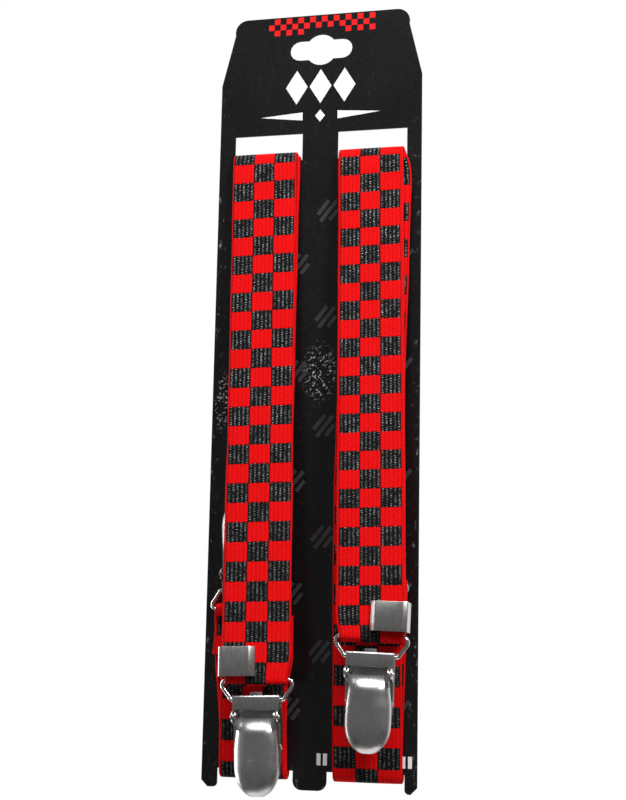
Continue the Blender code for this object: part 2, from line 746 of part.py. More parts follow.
def make_clip(kind, side, bar, turn):
    """One clip on an empty at its loop's upper bar."""
    holder = bpy.data.objects.new(f"{kind}_clip_{side}", None)
    parts.objects.link(holder)
    holder.location = bar
    holder.rotation_euler = Euler((0.0, turn, 0.0))
    bpy.context.view_layer.update()
    make_loop(f"{kind}_wire_loop_{side}", holder)
    make_back_plate(f"{kind}_clip_plate_{side}", holder)
    make_front_jaw(f"{kind}_clip_jaw_{side}", holder)
    make_lever(f"{kind}_clip_lever_{side}", holder)


# ---------------------------------------------------------------- adjusters


def make_adjuster(side):
    """C-shaped clamp: a dished face, a wall round the strap's outer edge, a back leg and a biting lip."""
    bar, up = FRONT_BAR[side], front_ply_direction(side)
    out = OUTWARD[side]
    rise = (ADJUSTER_CENTRE_Z[side] - bar.z) / up.z
    slope = (FRONT_TOP_X[side] - bar.x) / (STRAP_SLOT_BOTTOM - bar.z)
    forward = Vector((0.0, -up.z, up.y))
    centre = bar + forward * FOLD_RADIUS + up * rise
    centre.x = bar.x + slope * (ADJUSTER_CENTRE_Z[side] - bar.z)
    tail_back = 2 * FOLD_RADIUS + WEB_THICKNESS / 2
    edge = WEB_WIDTH / 2 + 0.75 * MM
    profile = [
        (0.3 * MM, -1.30 * MM),
        (2.2 * MM, -2.75 * MM),
        (7.2 * MM, -2.45 * MM),
        (11.9 * MM, -2.75 * MM),
        (edge, -2.2 * MM),
        (edge, tail_back + 0.6 * MM),
        (2.0 * MM, tail_back + 0.6 * MM),
    ]
    profile = filleted([(out * u, d) for u, d in profile], 0.8 * MM)
    obj = curve_object(f"slide_adjuster_{side}", [[tuple(point) for point in profile]], cyclic=False)
    obj.data.fill_mode = "NONE"
    obj.data.extrude = ADJUSTER_HEIGHT / 2
    obj = solidify(to_mesh(obj), SHEET)
    lean = math.atan2(up.y, up.z)
    holder = bpy.data.objects.new(f"adjuster_place_{side}", None)
    parts.objects.link(holder)
    holder.location = centre
    holder.rotation_euler = Euler((-lean, FRONT_TILT[side], 0.0))
    place(obj, holder, NICKEL)


make_card()
make_strap("left", "right", raised=False)
make_strap("right", "left", raised=True)
make_patch()
for side in ("left", "right"):
    make_sewn_end_stitching(side)
    make_clip("front", side, FRONT_BAR[side], FRONT_TILT[side])
    make_clip("back", side, BACK_BAR[side], math.pi + BACK_TILT[side])
    make_adjuster(side)
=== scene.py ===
import math

import bmesh
import bpy
import numpy as np
from mathutils import Euler, Matrix, Vector


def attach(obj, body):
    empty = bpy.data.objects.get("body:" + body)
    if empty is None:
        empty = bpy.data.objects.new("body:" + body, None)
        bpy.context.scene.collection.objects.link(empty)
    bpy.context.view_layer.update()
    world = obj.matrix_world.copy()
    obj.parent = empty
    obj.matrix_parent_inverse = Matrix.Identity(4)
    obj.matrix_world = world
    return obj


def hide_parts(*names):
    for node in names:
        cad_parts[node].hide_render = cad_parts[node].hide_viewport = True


# Looks for the clip suspenders on their card. Metres; the card hangs in the XZ plane and faces
# -Y, with the
# origin where a peg bears in the hang slot.
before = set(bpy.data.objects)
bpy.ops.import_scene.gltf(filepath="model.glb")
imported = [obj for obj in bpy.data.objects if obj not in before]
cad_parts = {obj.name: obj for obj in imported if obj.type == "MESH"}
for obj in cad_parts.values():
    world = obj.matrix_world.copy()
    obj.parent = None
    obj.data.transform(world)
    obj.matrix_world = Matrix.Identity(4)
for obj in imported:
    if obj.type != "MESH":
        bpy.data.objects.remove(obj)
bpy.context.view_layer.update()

MM = 0.001
GAP = 0.3 * MM

# ---------------------------------------------------------------- node trees

ZONE_CORE = 5 * MM
ZONE_EDGE = 14 * MM


class Tree:
    """Short calls for one node tree."""

    def __init__(self, tree):
        self.tree = tree

    def node(self, kind, **settings):
        made = self.tree.nodes.new("ShaderNode" + kind)
        for key, value in settings.items():
            setattr(made, key, value)
        return made

    def feed(self, socket, value):
        if isinstance(value, bpy.types.NodeSocket):
            self.tree.links.new(value, socket)
        else:
            socket.default_value = value

    def math(self, operation, a, b=0.0, c=0.0, clamp=False):
        made = self.node("Math", operation=operation, use_clamp=clamp)
        for socket, value in zip(made.inputs, (a, b, c)):
            self.feed(socket, value)
        return made.outputs[0]

    def add(self, a, b):
        return self.math("ADD", a, b)

    def sub(self, a, b):
        return self.math("SUBTRACT", a, b)

    def mul(self, a, b, clamp=False):
        return self.math("MULTIPLY", a, b, clamp=clamp)

    def abs(self, value):
        return self.math("ABSOLUTE", value)

    def floor(self, value):
        return self.math("FLOOR", value)

    def fract(self, value):
        return self.math("FRACT", value)

    def divide(self, a, b):
        return self.math("DIVIDE", a, b)

    def step(self, value, low, high, out_low=0.0, out_high=1.0):
        """Smoothstep of a value from low to high."""
        made = self.node("MapRange", interpolation_type="SMOOTHSTEP")
        for socket, number in zip(made.inputs[:5], (value, low, high, out_low, out_high)):
            self.feed(socket, number)
        return made.outputs[0]

    def wave(self, value, pitch):
        """From 0 to 1 and back over each pitch, highest at whole pitches."""
        turn = self.mul(value, 2 * math.pi / pitch)
        return self.math("MULTIPLY_ADD", self.math("COSINE", turn), 0.5, 0.5)

    def mix(self, share, a, b):
        made = self.node("Mix", data_type="RGBA")
        self.feed(made.inputs[0], share)
        for socket, colour in ((made.inputs[6], a), (made.inputs[7], b)):
            self.feed(socket, colour if isinstance(colour, bpy.types.NodeSocket) else (*colour, 1.0))
        return made.outputs[2]

    def place(self):
        """The piece's own coordinates, which are the row frame's at rest, in metres."""
        return self.node("TexCoord").outputs["Object"]

    def split(self, vector):
        made = self.node("SeparateXYZ")
        self.feed(made.inputs[0], vector)
        return made.outputs

    def stretched(self, vector, scale):
        made = self.node("VectorMath", operation="MULTIPLY")
        self.feed(made.inputs[0], vector)
        made.inputs[1].default_value = scale
        return made.outputs[0]

    def noise(self, vector, scale, detail=2.0, roughness=0.5):
        made = self.node("TexNoise")
        self.feed(made.inputs["Vector"], vector)
        made.inputs["Scale"].default_value = scale
        made.inputs["Detail"].default_value = detail
        made.inputs["Roughness"].default_value = roughness
        return made.outputs[0]

    def zone(self, middle, squeeze):
        """1 in a patch of the surface and 0 outside it; squeeze makes the patch narrower than
        tall."""
        made = self.node("VectorMath", operation="DISTANCE")
        self.feed(made.inputs[0], self.stretched(self.place(), (squeeze, 1.0, 1.0)))
        made.inputs[1].default_value = (middle[0] * squeeze, middle[1], middle[2])
        return self.step(made.outputs["Value"], ZONE_CORE, ZONE_EDGE, 1.0, 0.0)


class Graph(Tree):
    """One material's node tree and its shader."""

    def __init__(self, name, roughness, metallic=0.0, specular=0.5):
        self.material = bpy.data.materials.new(name)
        self.material.use_nodes = True
        super().__init__(self.material.node_tree)
        self.shader = self.tree.nodes["Principled BSDF"]
        self.set("Roughness", roughness)
        self.set("Metallic", metallic)
        self.set("Specular IOR Level", specular)

    def set(self, socket, value):
        self.feed(self.shader.inputs[socket], value)

    def bump(self, height, distance, strength=1.0):
        made = self.node("Bump")
        made.inputs["Strength"].default_value = strength
        made.inputs["Distance"].default_value = distance
        self.feed(made.inputs["Height"], height)
        self.set("Normal", made.outputs[0])


# ---------------------------------------------------------------- camera, light and floor

CAMERA_AZIMUTH = math.radians(13.0)
CAMERA_ELEVATION = math.radians(-9.3)
CAMERA_ROLL = math.radians(1.1)
CAMERA_DISTANCE = 0.550
CAMERA_TARGET = Vector((-0.0007, 0.0, -0.14645))
SENSOR = 36.0
FOCAL_LENGTH = 65.25
FLOOR_Z = -0.75
FLOOR_RADIUS = 0.4
FLOOR_GREY = 0.72
FLOOR_ROUGHNESS = 0.9
# The world's strength along one axis of the way a reflection looks: from, to, strength there and
# there.
DIMMER_IN_FRONT = (-0.10, 0.45, 0.13, 0.95)
DIMMER_BELOW = (-0.75, -0.05, 0.25, 1.0)
# Name, place, width and height in metres, and watts.
SOFTBOXES = (
    ("key", (0.70, -0.62, 0.62), 0.32, 0.32, 15.0),
    ("top_fill", (-0.15, -0.62, 0.92), 0.80, 0.40, 13.0),
    ("left_strip", (-0.75, 0.08, -0.15), 0.20, 0.9, 4.0),
)


def into_scene(obj):
    bpy.context.scene.collection.objects.link(obj)


def make_camera():
    data = bpy.data.cameras.new("camera")
    data.sensor_width = SENSOR
    data.lens = FOCAL_LENGTH
    data.clip_start, data.clip_end = 0.01, 50.0
    camera = bpy.data.objects.new("camera", data)
    into_scene(camera)
    a, e, r = CAMERA_AZIMUTH, CAMERA_ELEVATION, CAMERA_ROLL
    back = Vector((math.sin(a) * math.cos(e), -math.cos(a) * math.cos(e), math.sin(e)))
    right = Vector((math.cos(a), math.sin(a), 0.0))
    up = back.cross(right)
    right, up = (
        right * math.cos(r) + up * math.sin(r),
        up * math.cos(r) - right * math.sin(r),
    )
    place = Matrix((right, up, back)).transposed().to_4x4()
    place.translation = CAMERA_TARGET + back * CAMERA_DISTANCE
    camera.matrix_world = place
    bpy.context.scene.camera = camera


def make_softbox(name, place, width, height, watts):
    data = bpy.data.lights.new(name, "AREA")
    data.shape = "RECTANGLE"
    data.size, data.size_y = width, height
    data.energy = watts
    light = bpy.data.objects.new(name, data)
    into_scene(light)
    light.location = place
    light.rotation_euler = (Vector(place) - CAMERA_TARGET).to_track_quat("Z", "Y").to_euler()
    light.visible_camera = False


def make_world():
    """White behind the object; what the object reflects is dimmer in front of it than round it."""
    world = bpy.data.worlds.new("studio")
    bpy.context.scene.world = world
    world.use_nodes = True
    g = Tree(world.node_tree)
    g.tree.nodes.clear()
    way = g.split(g.node("TexCoord").outputs["Generated"])
    around, white = g.node("Background"), g.node("Background")
    for background in (around, white):
        background.inputs["Color"].default_value = (1, 1, 1, 1)
    strength = g.mul(g.step(way["Y"], *DIMMER_IN_FRONT), g.step(way["Z"], *DIMMER_BELOW))
    g.feed(around.inputs["Strength"], strength)
    g.feed(white.inputs["Strength"], 1.0)
    choose = g.node("MixShader")
    g.feed(choose.inputs[0], g.node("LightPath").outputs["Is Camera Ray"])
    g.feed(choose.inputs[1], around.outputs[0])
    g.feed(choose.inputs[2], white.outputs[0])
    g.feed(g.node("OutputWorld").inputs[0], choose.outputs[0])


def make_floor():
    bm = bmesh.new()
    bmesh.ops.create_circle(bm, cap_ends=True, segments=128, radius=FLOOR_RADIUS)
    mesh = bpy.data.meshes.new("floor")
    bm.to_mesh(mesh)
    bm.free()
    floor = bpy.data.objects.new("floor", mesh)
    into_scene(floor)
    floor.location.z = FLOOR_Z
    material = bpy.data.materials.new("pale_floor")
    material.use_nodes = True
    shader = material.node_tree.nodes["Principled BSDF"]
    shader.inputs["Base Color"].default_value = (FLOOR_GREY, FLOOR_GREY, FLOOR_GREY, 1)
    shader.inputs["Roughness"].default_value = FLOOR_ROUGHNESS
    mesh.materials.append(material)


make_camera()
make_world()
make_floor()
for softbox in SOFTBOXES:
    make_softbox(*softbox)
bpy.context.scene.view_settings.view_transform = "Standard"

# ---------------------------------------------------------------- materials


# Webbing: three columns of checks between two selvedges, woven in lengthways ribs.
WEB_WIDTH = 25.4 * MM
CHECK_WIDTH = 7.9
CHECK_HEIGHT = 7.5
THIN_SELVEDGE = 0.45
RIBS_PER_CHECK = 5
STITCH_PITCH = 0.66
BLACK_YARN = (0.0045, 0.0048, 0.0055)
PALE_YARN_AND_SHEEN = (0.72, 0.73, 0.74)
RED_YARN_SHADED = (0.36, 0.0, 0.001)
RED_YARN = (0.80, 0.0012, 0.0022)
RED_CREST_HIGHLIGHT = (1.0, 0.20, 0.16)
DARK_LINE = (0.012, 0.002, 0.002)
SHADE_BETWEEN_LOOPS = (0.10, 0.0, 0.0)


def webbing_material(name, odd):
    """The weave reads a UV map in metres: across from one edge, and along in rows of the nominal
    height."""
    g = Graph(name, 0.8, specular=0.12)
    uv = g.node("UVMap", uv_map="weave").outputs[0]
    split = g.split(uv)
    across = g.mul(split["X"], 1 / MM)
    along = g.mul(split["Y"], 1 / MM)
    rib_pitch = CHECK_WIDTH / RIBS_PER_CHECK
    from_edge = g.sub(across, THIN_SELVEDGE)
    in_ribs = g.divide(from_edge, rib_pitch)
    rib_number = g.floor(in_ribs)
    rib_side = g.math("MULTIPLY", g.fract(g.mul(rib_number, 0.5)), 2.0)

    # Neighbouring ribs change colour slightly apart, so a check's ends are stepped.
    ragged = g.mul(g.sub(rib_side, 0.5), 0.12)
    column = g.floor(g.divide(from_edge, CHECK_WIDTH))
    rows = g.divide(g.add(along, ragged), CHECK_HEIGHT)
    row = g.floor(rows)
    parity = g.fract(g.mul(g.add(g.add(column, row), 100.0 + odd), 0.5))
    inside = g.mul(
        g.math("GREATER_THAN", from_edge, 0.0), g.math("LESS_THAN", from_edge, 3 * CHECK_WIDTH)
    )
    black = g.mul(g.mul(parity, 2.0), inside)

    rib = g.wave(g.sub(from_edge, rib_pitch / 2), rib_pitch)
    stitch = g.wave(along, STITCH_PITCH)
    crossing = g.wave(g.add(along, g.mul(rib_side, STITCH_PITCH / 2)), STITCH_PITCH)
    patchy = g.noise(uv, 260.0, 2.0)
    speckle = g.noise(g.stretched(uv, (1.0, 1.35, 1.0)), 1500.0, 1.0)
    # Light threads on the crests of the stitches, with a painted sheen on them.
    glint = g.mul(g.step(rib, 0.35, 0.95), g.step(crossing, 0.50, 0.95))
    glint = g.mul(glint, g.step(speckle, 0.38, 0.66))
    glint = g.mul(glint, g.step(patchy, 0.30, 0.70, 0.22, 1.0))
    # The light threads carry a painted sheen, and show less low down: painted shade.
    glint = g.mul(glint, g.step(g.split(g.place())["Z"], -0.245, -0.150, 0.62, 1.0))
    groove = g.step(rib, 0.0, 0.45)
    black_thread = g.mix(glint, BLACK_YARN, PALE_YARN_AND_SHEEN)

    shade = g.mul(g.add(g.mul(groove, 0.20), 0.80), g.add(g.mul(crossing, 0.14), 0.86))
    # Lighter flecks on the crests of the stitches: a painted highlight.
    crest_highlight = g.mul(g.step(speckle, 0.60, 0.74), g.mul(rib, crossing))
    red_thread = g.mix(shade, RED_YARN_SHADED, RED_YARN)
    red_thread = g.mix(g.mul(crest_highlight, 0.22), red_thread, RED_CREST_HIGHLIGHT)

    colour = g.mix(black, red_thread, black_thread)

    # A dark stitched line along each change of colour, broken by the threads that cross it.
    to_row = g.abs(g.sub(g.fract(g.add(rows, 0.5)), 0.5))
    row_line = g.mul(g.step(to_row, 0.012, 0.034, 1.0, 0.0), g.step(rib, 0.2, 0.7, 1.0, 0.35))
    columns = g.divide(from_edge, CHECK_WIDTH)
    to_column = g.abs(g.sub(g.fract(g.add(columns, 0.5)), 0.5))
    column_line = g.mul(g.step(to_column, 0.008, 0.03, 1.0, 0.0), g.step(stitch, 0.2, 0.8, 1.0, 0.3))
    lines = g.mul(g.math("MAXIMUM", row_line, column_line), inside)
    colour = g.mix(g.mul(lines, 0.75), colour, DARK_LINE)

    # The selvedges close in small loops, with painted shade in the gaps between them.
    selvedge = g.sub(1.0, inside)
    painted_loop_shade = g.mul(selvedge, g.step(stitch, 0.0, 0.5, 0.45, 0.0))
    colour = g.mix(painted_loop_shade, colour, SHADE_BETWEEN_LOOPS)
    g.set("Base Color", colour)
    g.set("Roughness", g.sub(0.86, g.mul(black, g.mul(glint, 0.45))))

    ribbed = g.add(g.mul(rib, g.add(g.mul(black, 0.45), 0.35)), g.mul(crossing, 0.35))
    height = g.add(ribbed, g.mul(speckle, 0.25))
    g.bump(g.sub(height, g.mul(lines, 0.5)), 0.16 * MM)
    return g.material


CARD_BLACK = ((0.0045, 0.0045, 0.005), (0.010, 0.010, 0.011))
SCUFF_AND_GLINT_GREY = (0.42, 0.42, 0.43)
CREASE_GLINT_GREY = (0.62, 0.62, 0.63)
# Creased patches of the card, where painted glints lie along the creases: the middle, and how much
# narrower than tall.
CREASE_GLINT_ZONES = (((0.002, 0.0, -0.136), 1.7), ((-0.0365, 0.0, -0.146), 3.6))


def card_material():
    """Black gloss print on board, scuffed towards its edges and corners, with painted glints among
    the scuffs and along the creases.
    """
    g = Graph("card_print", 0.3, specular=0.42)
    place = g.place()
    x, _, z = g.split(place)
    cloud = g.noise(place, 38.0, 4.0)
    grain = g.noise(place, 900.0, 3.0, 0.65)
    scuff_and_glint_pattern = g.noise(g.stretched(place, (1.0, 1.0, 0.6)), 420.0, 5.0, 0.75)
    edge = g.step(g.abs(x), 34.0 * MM, 40.3 * MM)
    low = g.step(z, -0.292, -0.270, 1.0, 0.0)
    wear_and_glint_area = g.math("MAXIMUM", edge, g.mul(low, 0.9))
    # Pale specks towards the edges and the foot: scuffs, with painted glints among them.
    scuffs_and_glints = g.mul(g.step(scuff_and_glint_pattern, 0.58, 0.68), g.step(cloud, 0.38, 0.60))
    scuffs_and_glints = g.mul(scuffs_and_glints, g.add(g.mul(wear_and_glint_area, 0.92), 0.05))
    base = g.mix(g.step(grain, 0.3, 0.8), *CARD_BLACK)
    # Thin bright lines in the creased patches: painted glints along the creases.
    from_middle = g.abs(g.sub(g.noise(place, 560.0, 2.0), 0.5))
    crease_glint = g.step(from_middle, 0.0, 0.05, 1.0, 0.0)
    crease_glint = g.mul(crease_glint, g.step(g.noise(place, 760.0, 1.0), 0.46, 0.60))
    crease_glint = g.mul(crease_glint, g.math("MAXIMUM", *(g.zone(*zone) for zone in CREASE_GLINT_ZONES)))
    colour = g.mix(g.mul(scuffs_and_glints, 0.5), base, SCUFF_AND_GLINT_GREY)
    g.set("Base Color", g.mix(crease_glint, colour, CREASE_GLINT_GREY))
    g.set("Roughness", g.add(g.mul(cloud, 0.16), g.add(g.mul(scuffs_and_glints, 0.25), 0.16)))
    g.bump(g.add(cloud, g.mul(grain, 0.03)), 0.5 * MM, 0.35)
    return g.material


def ink_material(name, light, dark, roughness=0.35):
    g = Graph(name, roughness, specular=0.3)
    place = g.place()
    worn = g.noise(place, 700.0, 4.0, 0.7)
    g.set("Base Color", g.mix(g.step(worn, 0.60, 0.76), light, dark))
    g.set("Roughness", g.add(g.mul(worn, 0.2), roughness - 0.1))
    return g.material


def nickel_material(name, colour, roughness, streak):
    """Plated steel: soft vertical draw marks, fine grain, a few scratches and duller patches."""
    g = Graph(name, roughness, metallic=1.0)
    place = g.place()
    drawn = g.noise(g.stretched(place, (1.0, 1.0, 0.05)), 2600.0, 3.0, 0.6)
    grain = g.noise(place, 2400.0, 3.0, 0.7)
    cloud = g.noise(place, 130.0, 4.0, 0.6)
    scratch = g.noise(g.stretched(place, (0.03, 1.0, 1.0)), 2100.0, 1.0)
    line = g.mul(g.step(scratch, 0.70, 0.76), g.step(cloud, 0.50, 0.60))
    dull = g.step(cloud, 0.40, 0.70)
    tone = g.add(g.mul(drawn, 0.22), g.add(g.mul(dull, -0.10), 0.86))
    dark = tuple(channel * 0.45 for channel in colour)
    g.set("Base Color", g.mix(g.mul(tone, 1.0, clamp=True), dark, colour))
    rough = g.add(g.mul(drawn, streak), g.mul(dull, 0.10))
    rough = g.add(rough, g.mul(line, 0.15))
    g.set("Roughness", g.add(rough, roughness - streak / 2))
    g.bump(g.add(g.add(g.mul(grain, 0.5), g.mul(drawn, 0.3)), g.mul(line, -1.5)), 0.012 * MM, 0.6)
    return g.material


def leatherette_material():
    g = Graph("black_leatherette", 0.5, specular=0.4)
    place = g.place()
    cells = g.node("TexVoronoi", feature="DISTANCE_TO_EDGE")
    g.feed(cells.inputs["Vector"], place)
    cells.inputs["Scale"].default_value = 900.0
    crease = g.step(cells.outputs["Distance"], 0.0, 0.12)
    tone = g.noise(place, 160.0, 3.0)
    raised = g.mix(tone, (0.012, 0.012, 0.012), (0.030, 0.029, 0.028))
    # Darker in the creases of the grain: painted shade.
    g.set("Base Color", g.mix(crease, (0.005, 0.005, 0.005), raised))
    g.set("Roughness", g.sub(0.62, g.mul(crease, 0.18)))
    g.bump(crease, 0.12 * MM)
    return g.material


def thread_material():
    """Two-ply thread: painted light on the plies and painted shade between them follow the lay along
    each stitch.
    """
    g = Graph("red_thread", 0.65, specular=0.25)
    place = g.place()
    lay = g.node("TexWave", wave_type="BANDS", bands_direction="DIAGONAL")
    g.feed(lay.inputs["Vector"], place)
    lay.inputs["Scale"].default_value = 420.0
    lay.inputs["Distortion"].default_value = 1.2
    g.set("Base Color", g.mix(lay.outputs["Fac"], (0.30, 0.0, 0.002), (0.85, 0.01, 0.012)))
    g.bump(lay.outputs["Fac"], 0.05 * MM)
    return g.material


WEAVES = {}
for side, odd in (("left", 1.0), ("right", 0.0)):
    WEAVES[side] = [
        webbing_material(f"webbing_{side}_face", odd),
        webbing_material(f"webbing_{side}_reverse", odd + 1.0),
    ]
CARD_LOOK = card_material()
NICKEL = nickel_material("satin_nickel", (0.66, 0.65, 0.64), 0.27, 0.12)
# A darker copy of the nickel for the jaws and the back clips: painted shade between the plies and
# inside the clips.
NICKEL_IN_PAINTED_SHADE = nickel_material("nickel_painted_shade", (0.30, 0.29, 0.285), 0.38, 0.12)
WIRE = nickel_material("bright_nickel_wire", (0.74, 0.73, 0.72), 0.20, 0.06)
LEATHERETTE = leatherette_material()
THREAD = thread_material()
WHITE_INK = ink_material("white_ink", (0.86, 0.86, 0.86), (0.35, 0.35, 0.36))
RED_INK = ink_material("red_ink", (0.86, 0.006, 0.008), (0.30, 0.004, 0.005))
GREY_INK = ink_material("grey_ink", (0.040, 0.040, 0.042), (0.012, 0.012, 0.013), 0.3)

# ---------------------------------------------------------------- shared shape helpers


def link(name, mesh, materials):
    obj = bpy.data.objects.new(name, mesh)
    into_scene(obj)
    for material in materials:
        mesh.materials.append(material)
    return obj


def from_bmesh(name, bm, materials):
    mesh = bpy.data.meshes.new(name)
    bmesh.ops.recalc_face_normals(bm, faces=bm.faces)
    bm.to_mesh(mesh)
    bm.free()
    return link(name, mesh, materials)


def baked(obj):
    """The object with its modifiers, or its curve's bevel, turned into plain mesh in place."""
    bpy.context.view_layer.update()
    evaluated = obj.evaluated_get(bpy.context.evaluated_depsgraph_get())
    mesh = bpy.data.meshes.new_from_object(evaluated)
    name, place, materials = obj.name, obj.matrix_world.copy(), list(obj.data.materials)
    bpy.data.objects.remove(obj)
    mesh.transform(place)
    mesh.materials.clear()
    return link(name, mesh, materials)


def joined(name, objects):
    """One object from several, which are removed."""
    bm = bmesh.new()
    for obj in objects:
        bm.from_mesh(obj.data)
    materials = list(objects[0].data.materials)
    for obj in objects:
        bpy.data.objects.remove(obj)
    mesh = bpy.data.meshes.new(name)
    bm.to_mesh(mesh)
    bm.free()
    return link(name, mesh, materials)


def smooth(obj, degrees=32):
    obj.data.shade_smooth()
    obj.data.set_sharp_from_angle(angle=math.radians(degrees))
    return obj


def bevelled(obj, width, segments=2, degrees=35):
    modifier = obj.modifiers.new("edges", "BEVEL")
    modifier.width = width
    modifier.segments = segments
    modifier.limit_method = "ANGLE"
    modifier.angle_limit = math.radians(degrees)
    modifier.harden_normals = False
    return obj


def thickened(obj, thickness, offset=0.0):
    modifier = obj.modifiers.new("sheet", "SOLIDIFY")
    modifier.thickness = thickness
    modifier.offset = offset
    modifier.use_even_offset = True
    return obj


def bridge(bm, last, ring):
    """Faces between two rings with as many points."""
    for k in range(len(ring)):
        after = (k + 1) % len(ring)
        bm.faces.new((last[k], last[after], ring[after], ring[k]))


def sided(left, right, unit=MM):
    return {"left": left * unit, "right": right * unit}


def curve(name, loops, material, cyclic=True, dimensions="2D"):
    data = bpy.data.curves.new(name, "CURVE")
    data.dimensions = dimensions
    for loop in loops:
        spline = data.splines.new("POLY")
        spline.points.add(len(loop) - 1)
        for point, place in zip(spline.points, loop):
            point.co = (*place, 0.0, 1.0) if len(place) == 2 else (*place, 1.0)
        spline.use_cyclic_u = cyclic
    obj = bpy.data.objects.new(name, data)
    into_scene(obj)
    data.materials.append(material)
    return obj


def arc(centre, radius, start, end, steps):
    points = []
    for step in range(steps + 1):
        angle = math.radians(start + (end - start) * step / steps)
        points.append(
            (centre[0] + radius * math.cos(angle), centre[1] + radius * math.sin(angle))
        )
    return points


def filleted(points, radius, steps=7):
    path = [Vector(points[0])]
    for before, corner, after in zip(points, points[1:], points[2:]):
        before, corner, after = Vector(before), Vector(corner), Vector(after)
        back, ahead = before - corner, after - corner
        half = back.angle(ahead) / 2
        reach = min(radius / math.tan(half), 0.45 * back.length, 0.45 * ahead.length)
        start, end = corner + back.normalized() * reach, corner + ahead.normalized() * reach
        for step in range(steps + 1):
            t = step / steps
            path.append(start * (1 - t) ** 2 + corner * 2 * t * (1 - t) + end * t**2)
    path.append(Vector(points[-1]))
    return path


def ease(t):
    t = min(max(t, 0.0), 1.0)
    return t * t * (3 - 2 * t)


def between(a, b, t):
    return a + (b - a) * t


def dress(obj, body, node):
    """The piece rides on the body and stands for the CAD node, which it hides."""
    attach(obj, body)
    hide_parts(node)
    return obj


# ---------------------------------------------------------------- webbing

SIDES = ("left", "right")
STRAP_SLOT_BOTTOM = -51.4 * MM
NOTCH_TOP = -283.4 * MM
WEB_THICKNESS = 1.2 * MM
SHOWN_THICKNESS = 1.14 * MM
FOLD_WIDTH = 23.2 * MM
FOLD_TAPER = 7.0 * MM
TILT_FADE = 95.0 * MM
LEVEL_1 = 0.3 * MM + GAP + WEB_THICKNESS / 2
LEVEL_2 = LEVEL_1 + WEB_THICKNESS + GAP
LEVEL_3 = LEVEL_2 + WEB_THICKNESS + GAP
WRAP_STEPS = 8
HALF_TURN = [math.pi * step / WRAP_STEPS for step in range(WRAP_STEPS + 1)]
FOLD_RADIUS = 0.8 * MM + 0.25 * MM + WEB_THICKNESS / 2
FRONT_BAR = {
    "left": Vector((-15.9 * MM, -15.0 * MM, -250.8 * MM)),
    "right": Vector((25.6 * MM, -13.9 * MM, -234.6 * MM)),
}
FRONT_TILT = {"left": math.radians(-2.0), "right": math.radians(1.5)}
BACK_BAR = {
    "left": Vector((-23.9 * MM, -(LEVEL_1 + FOLD_RADIUS), -225.0 * MM)),
    "right": Vector((23.4 * MM, -(LEVEL_1 + FOLD_RADIUS), -219.0 * MM)),
}
BACK_TILT = {"left": math.radians(-3.0), "right": math.radians(-1.0)}
FRONT_TOP_X = sided(-21.2, 20.9)
SECOND_TOP_X = sided(-20.1, 21.5)
SECOND_NECK_X = sided(-19.9, 23.9)
SECOND_NECK_DROP = 9.0 * MM
SECOND_MID_X = sided(-18.9, 22.6)
SECOND_BOTTOM_X = sided(-20.2, 22.4)
OVER_CLIP_DEPTH = 8.95 * MM
OVER_CLIP_TOP = -180.0 * MM
OVER_CLIP_BOTTOM = -208.0 * MM
TAIL_LENGTH = sided(23.0, 20.0)
SEWN_END_LENGTH = 17.0 * MM
BACK_PLY_END = 0.96
CROSSING_RISE_SHARE = 0.24

# Rows of checks counted along each strap, at heights on its plies: (ply, height, row).
ROW_MARKS = {
    "left": [
        ("front", -250.8, -26.83), ("front", -150.0, -12.98), ("front", -51.4, -0.07),
        ("second", -273.9, 35.0), ("second", -57.2, 65.0),
    ],
    "right": [
        ("front", -234.6, -25.55), ("front", -150.0, -13.50), ("front", -51.4, -0.17),
        ("second", -265.6, 36.0), ("second", -60.0, 64.0),
    ],
}
# The middle of the three columns across the strap, and how far the elastic spreads them.
WEAVE_MIDDLE = THIN_SELVEDGE * MM + 1.5 * CHECK_WIDTH * MM
COLUMNS_MIDDLE = sided(12.70, 12.55)
COLUMNS_SPREAD = sided(1.025, 0.975, unit=1)


class Route:
    """Stations along the middle of a strap: place, width, sideways slant of the weave and the
    ply's name."""

    def __init__(self):
        self.stations = []
        self.ply = "tail"

    def add(self, x, y, z, width=WEB_WIDTH, slant=0.0):
        self.stations.append(((x, y, z, width, slant), self.ply))

    def line(self, start, end, steps):
        for step in range(1, steps + 1):
            self.add(*between(Vector(start), Vector(end), step / steps))

    def wrap(self, x, z, level, over_top, towards_back):
        self.ply = "wrap"
        rise = 1 if over_top else -1
        face = -1 if towards_back else 1
        for angle in HALF_TURN:
            self.add(x, face * level * math.cos(angle), z + rise * level * math.sin(angle))


def front_ply_direction(side):
    bar = FRONT_BAR[side]
    return Vector((0.0, -LEVEL_2 - (bar.y - FOLD_RADIUS), STRAP_SLOT_BOTTOM - bar.z)).normalized()


def add_front_end(route, side):
    """Turned tail, the fold round the loop's bar, and the front ply up to the strap slot."""
    bar, tilt = FRONT_BAR[side], FRONT_TILT[side]
    up = front_ply_direction(side)
    forward = Vector((0.0, -up.z, up.y))
    top_x = FRONT_TOP_X[side]
    slope = (top_x - bar.x) / (STRAP_SLOT_BOTTOM - bar.z)

    def put(place, rise):
        width = between(FOLD_WIDTH, WEB_WIDTH, ease(rise / FOLD_TAPER))
        slant = tilt * (1 - ease(rise / TILT_FADE))
        route.add(bar.x + slope * max(rise, 0.0), place.y, place.z, width, slant)

    for share in (1.0, 0.75, 0.5, 0.3, 0.2, 0.1):
        rise = TAIL_LENGTH[side] * share
        put(bar - forward * FOLD_RADIUS + up * rise, rise)
    for angle in HALF_TURN:
        put(bar - (forward * math.cos(angle) + up * math.sin(angle)) * FOLD_RADIUS, 0.0)
    route.ply = "front"
    start = bar + forward * FOLD_RADIUS
    end = Vector((0.0, -LEVEL_2, STRAP_SLOT_BOTTOM))
    length = (end - start).yz.length
    for rise in (2 * MM, 4 * MM, FOLD_TAPER, *[length * step / 14 for step in range(1, 14)]):
        put(between(start, end, rise / length), rise)
    return top_x


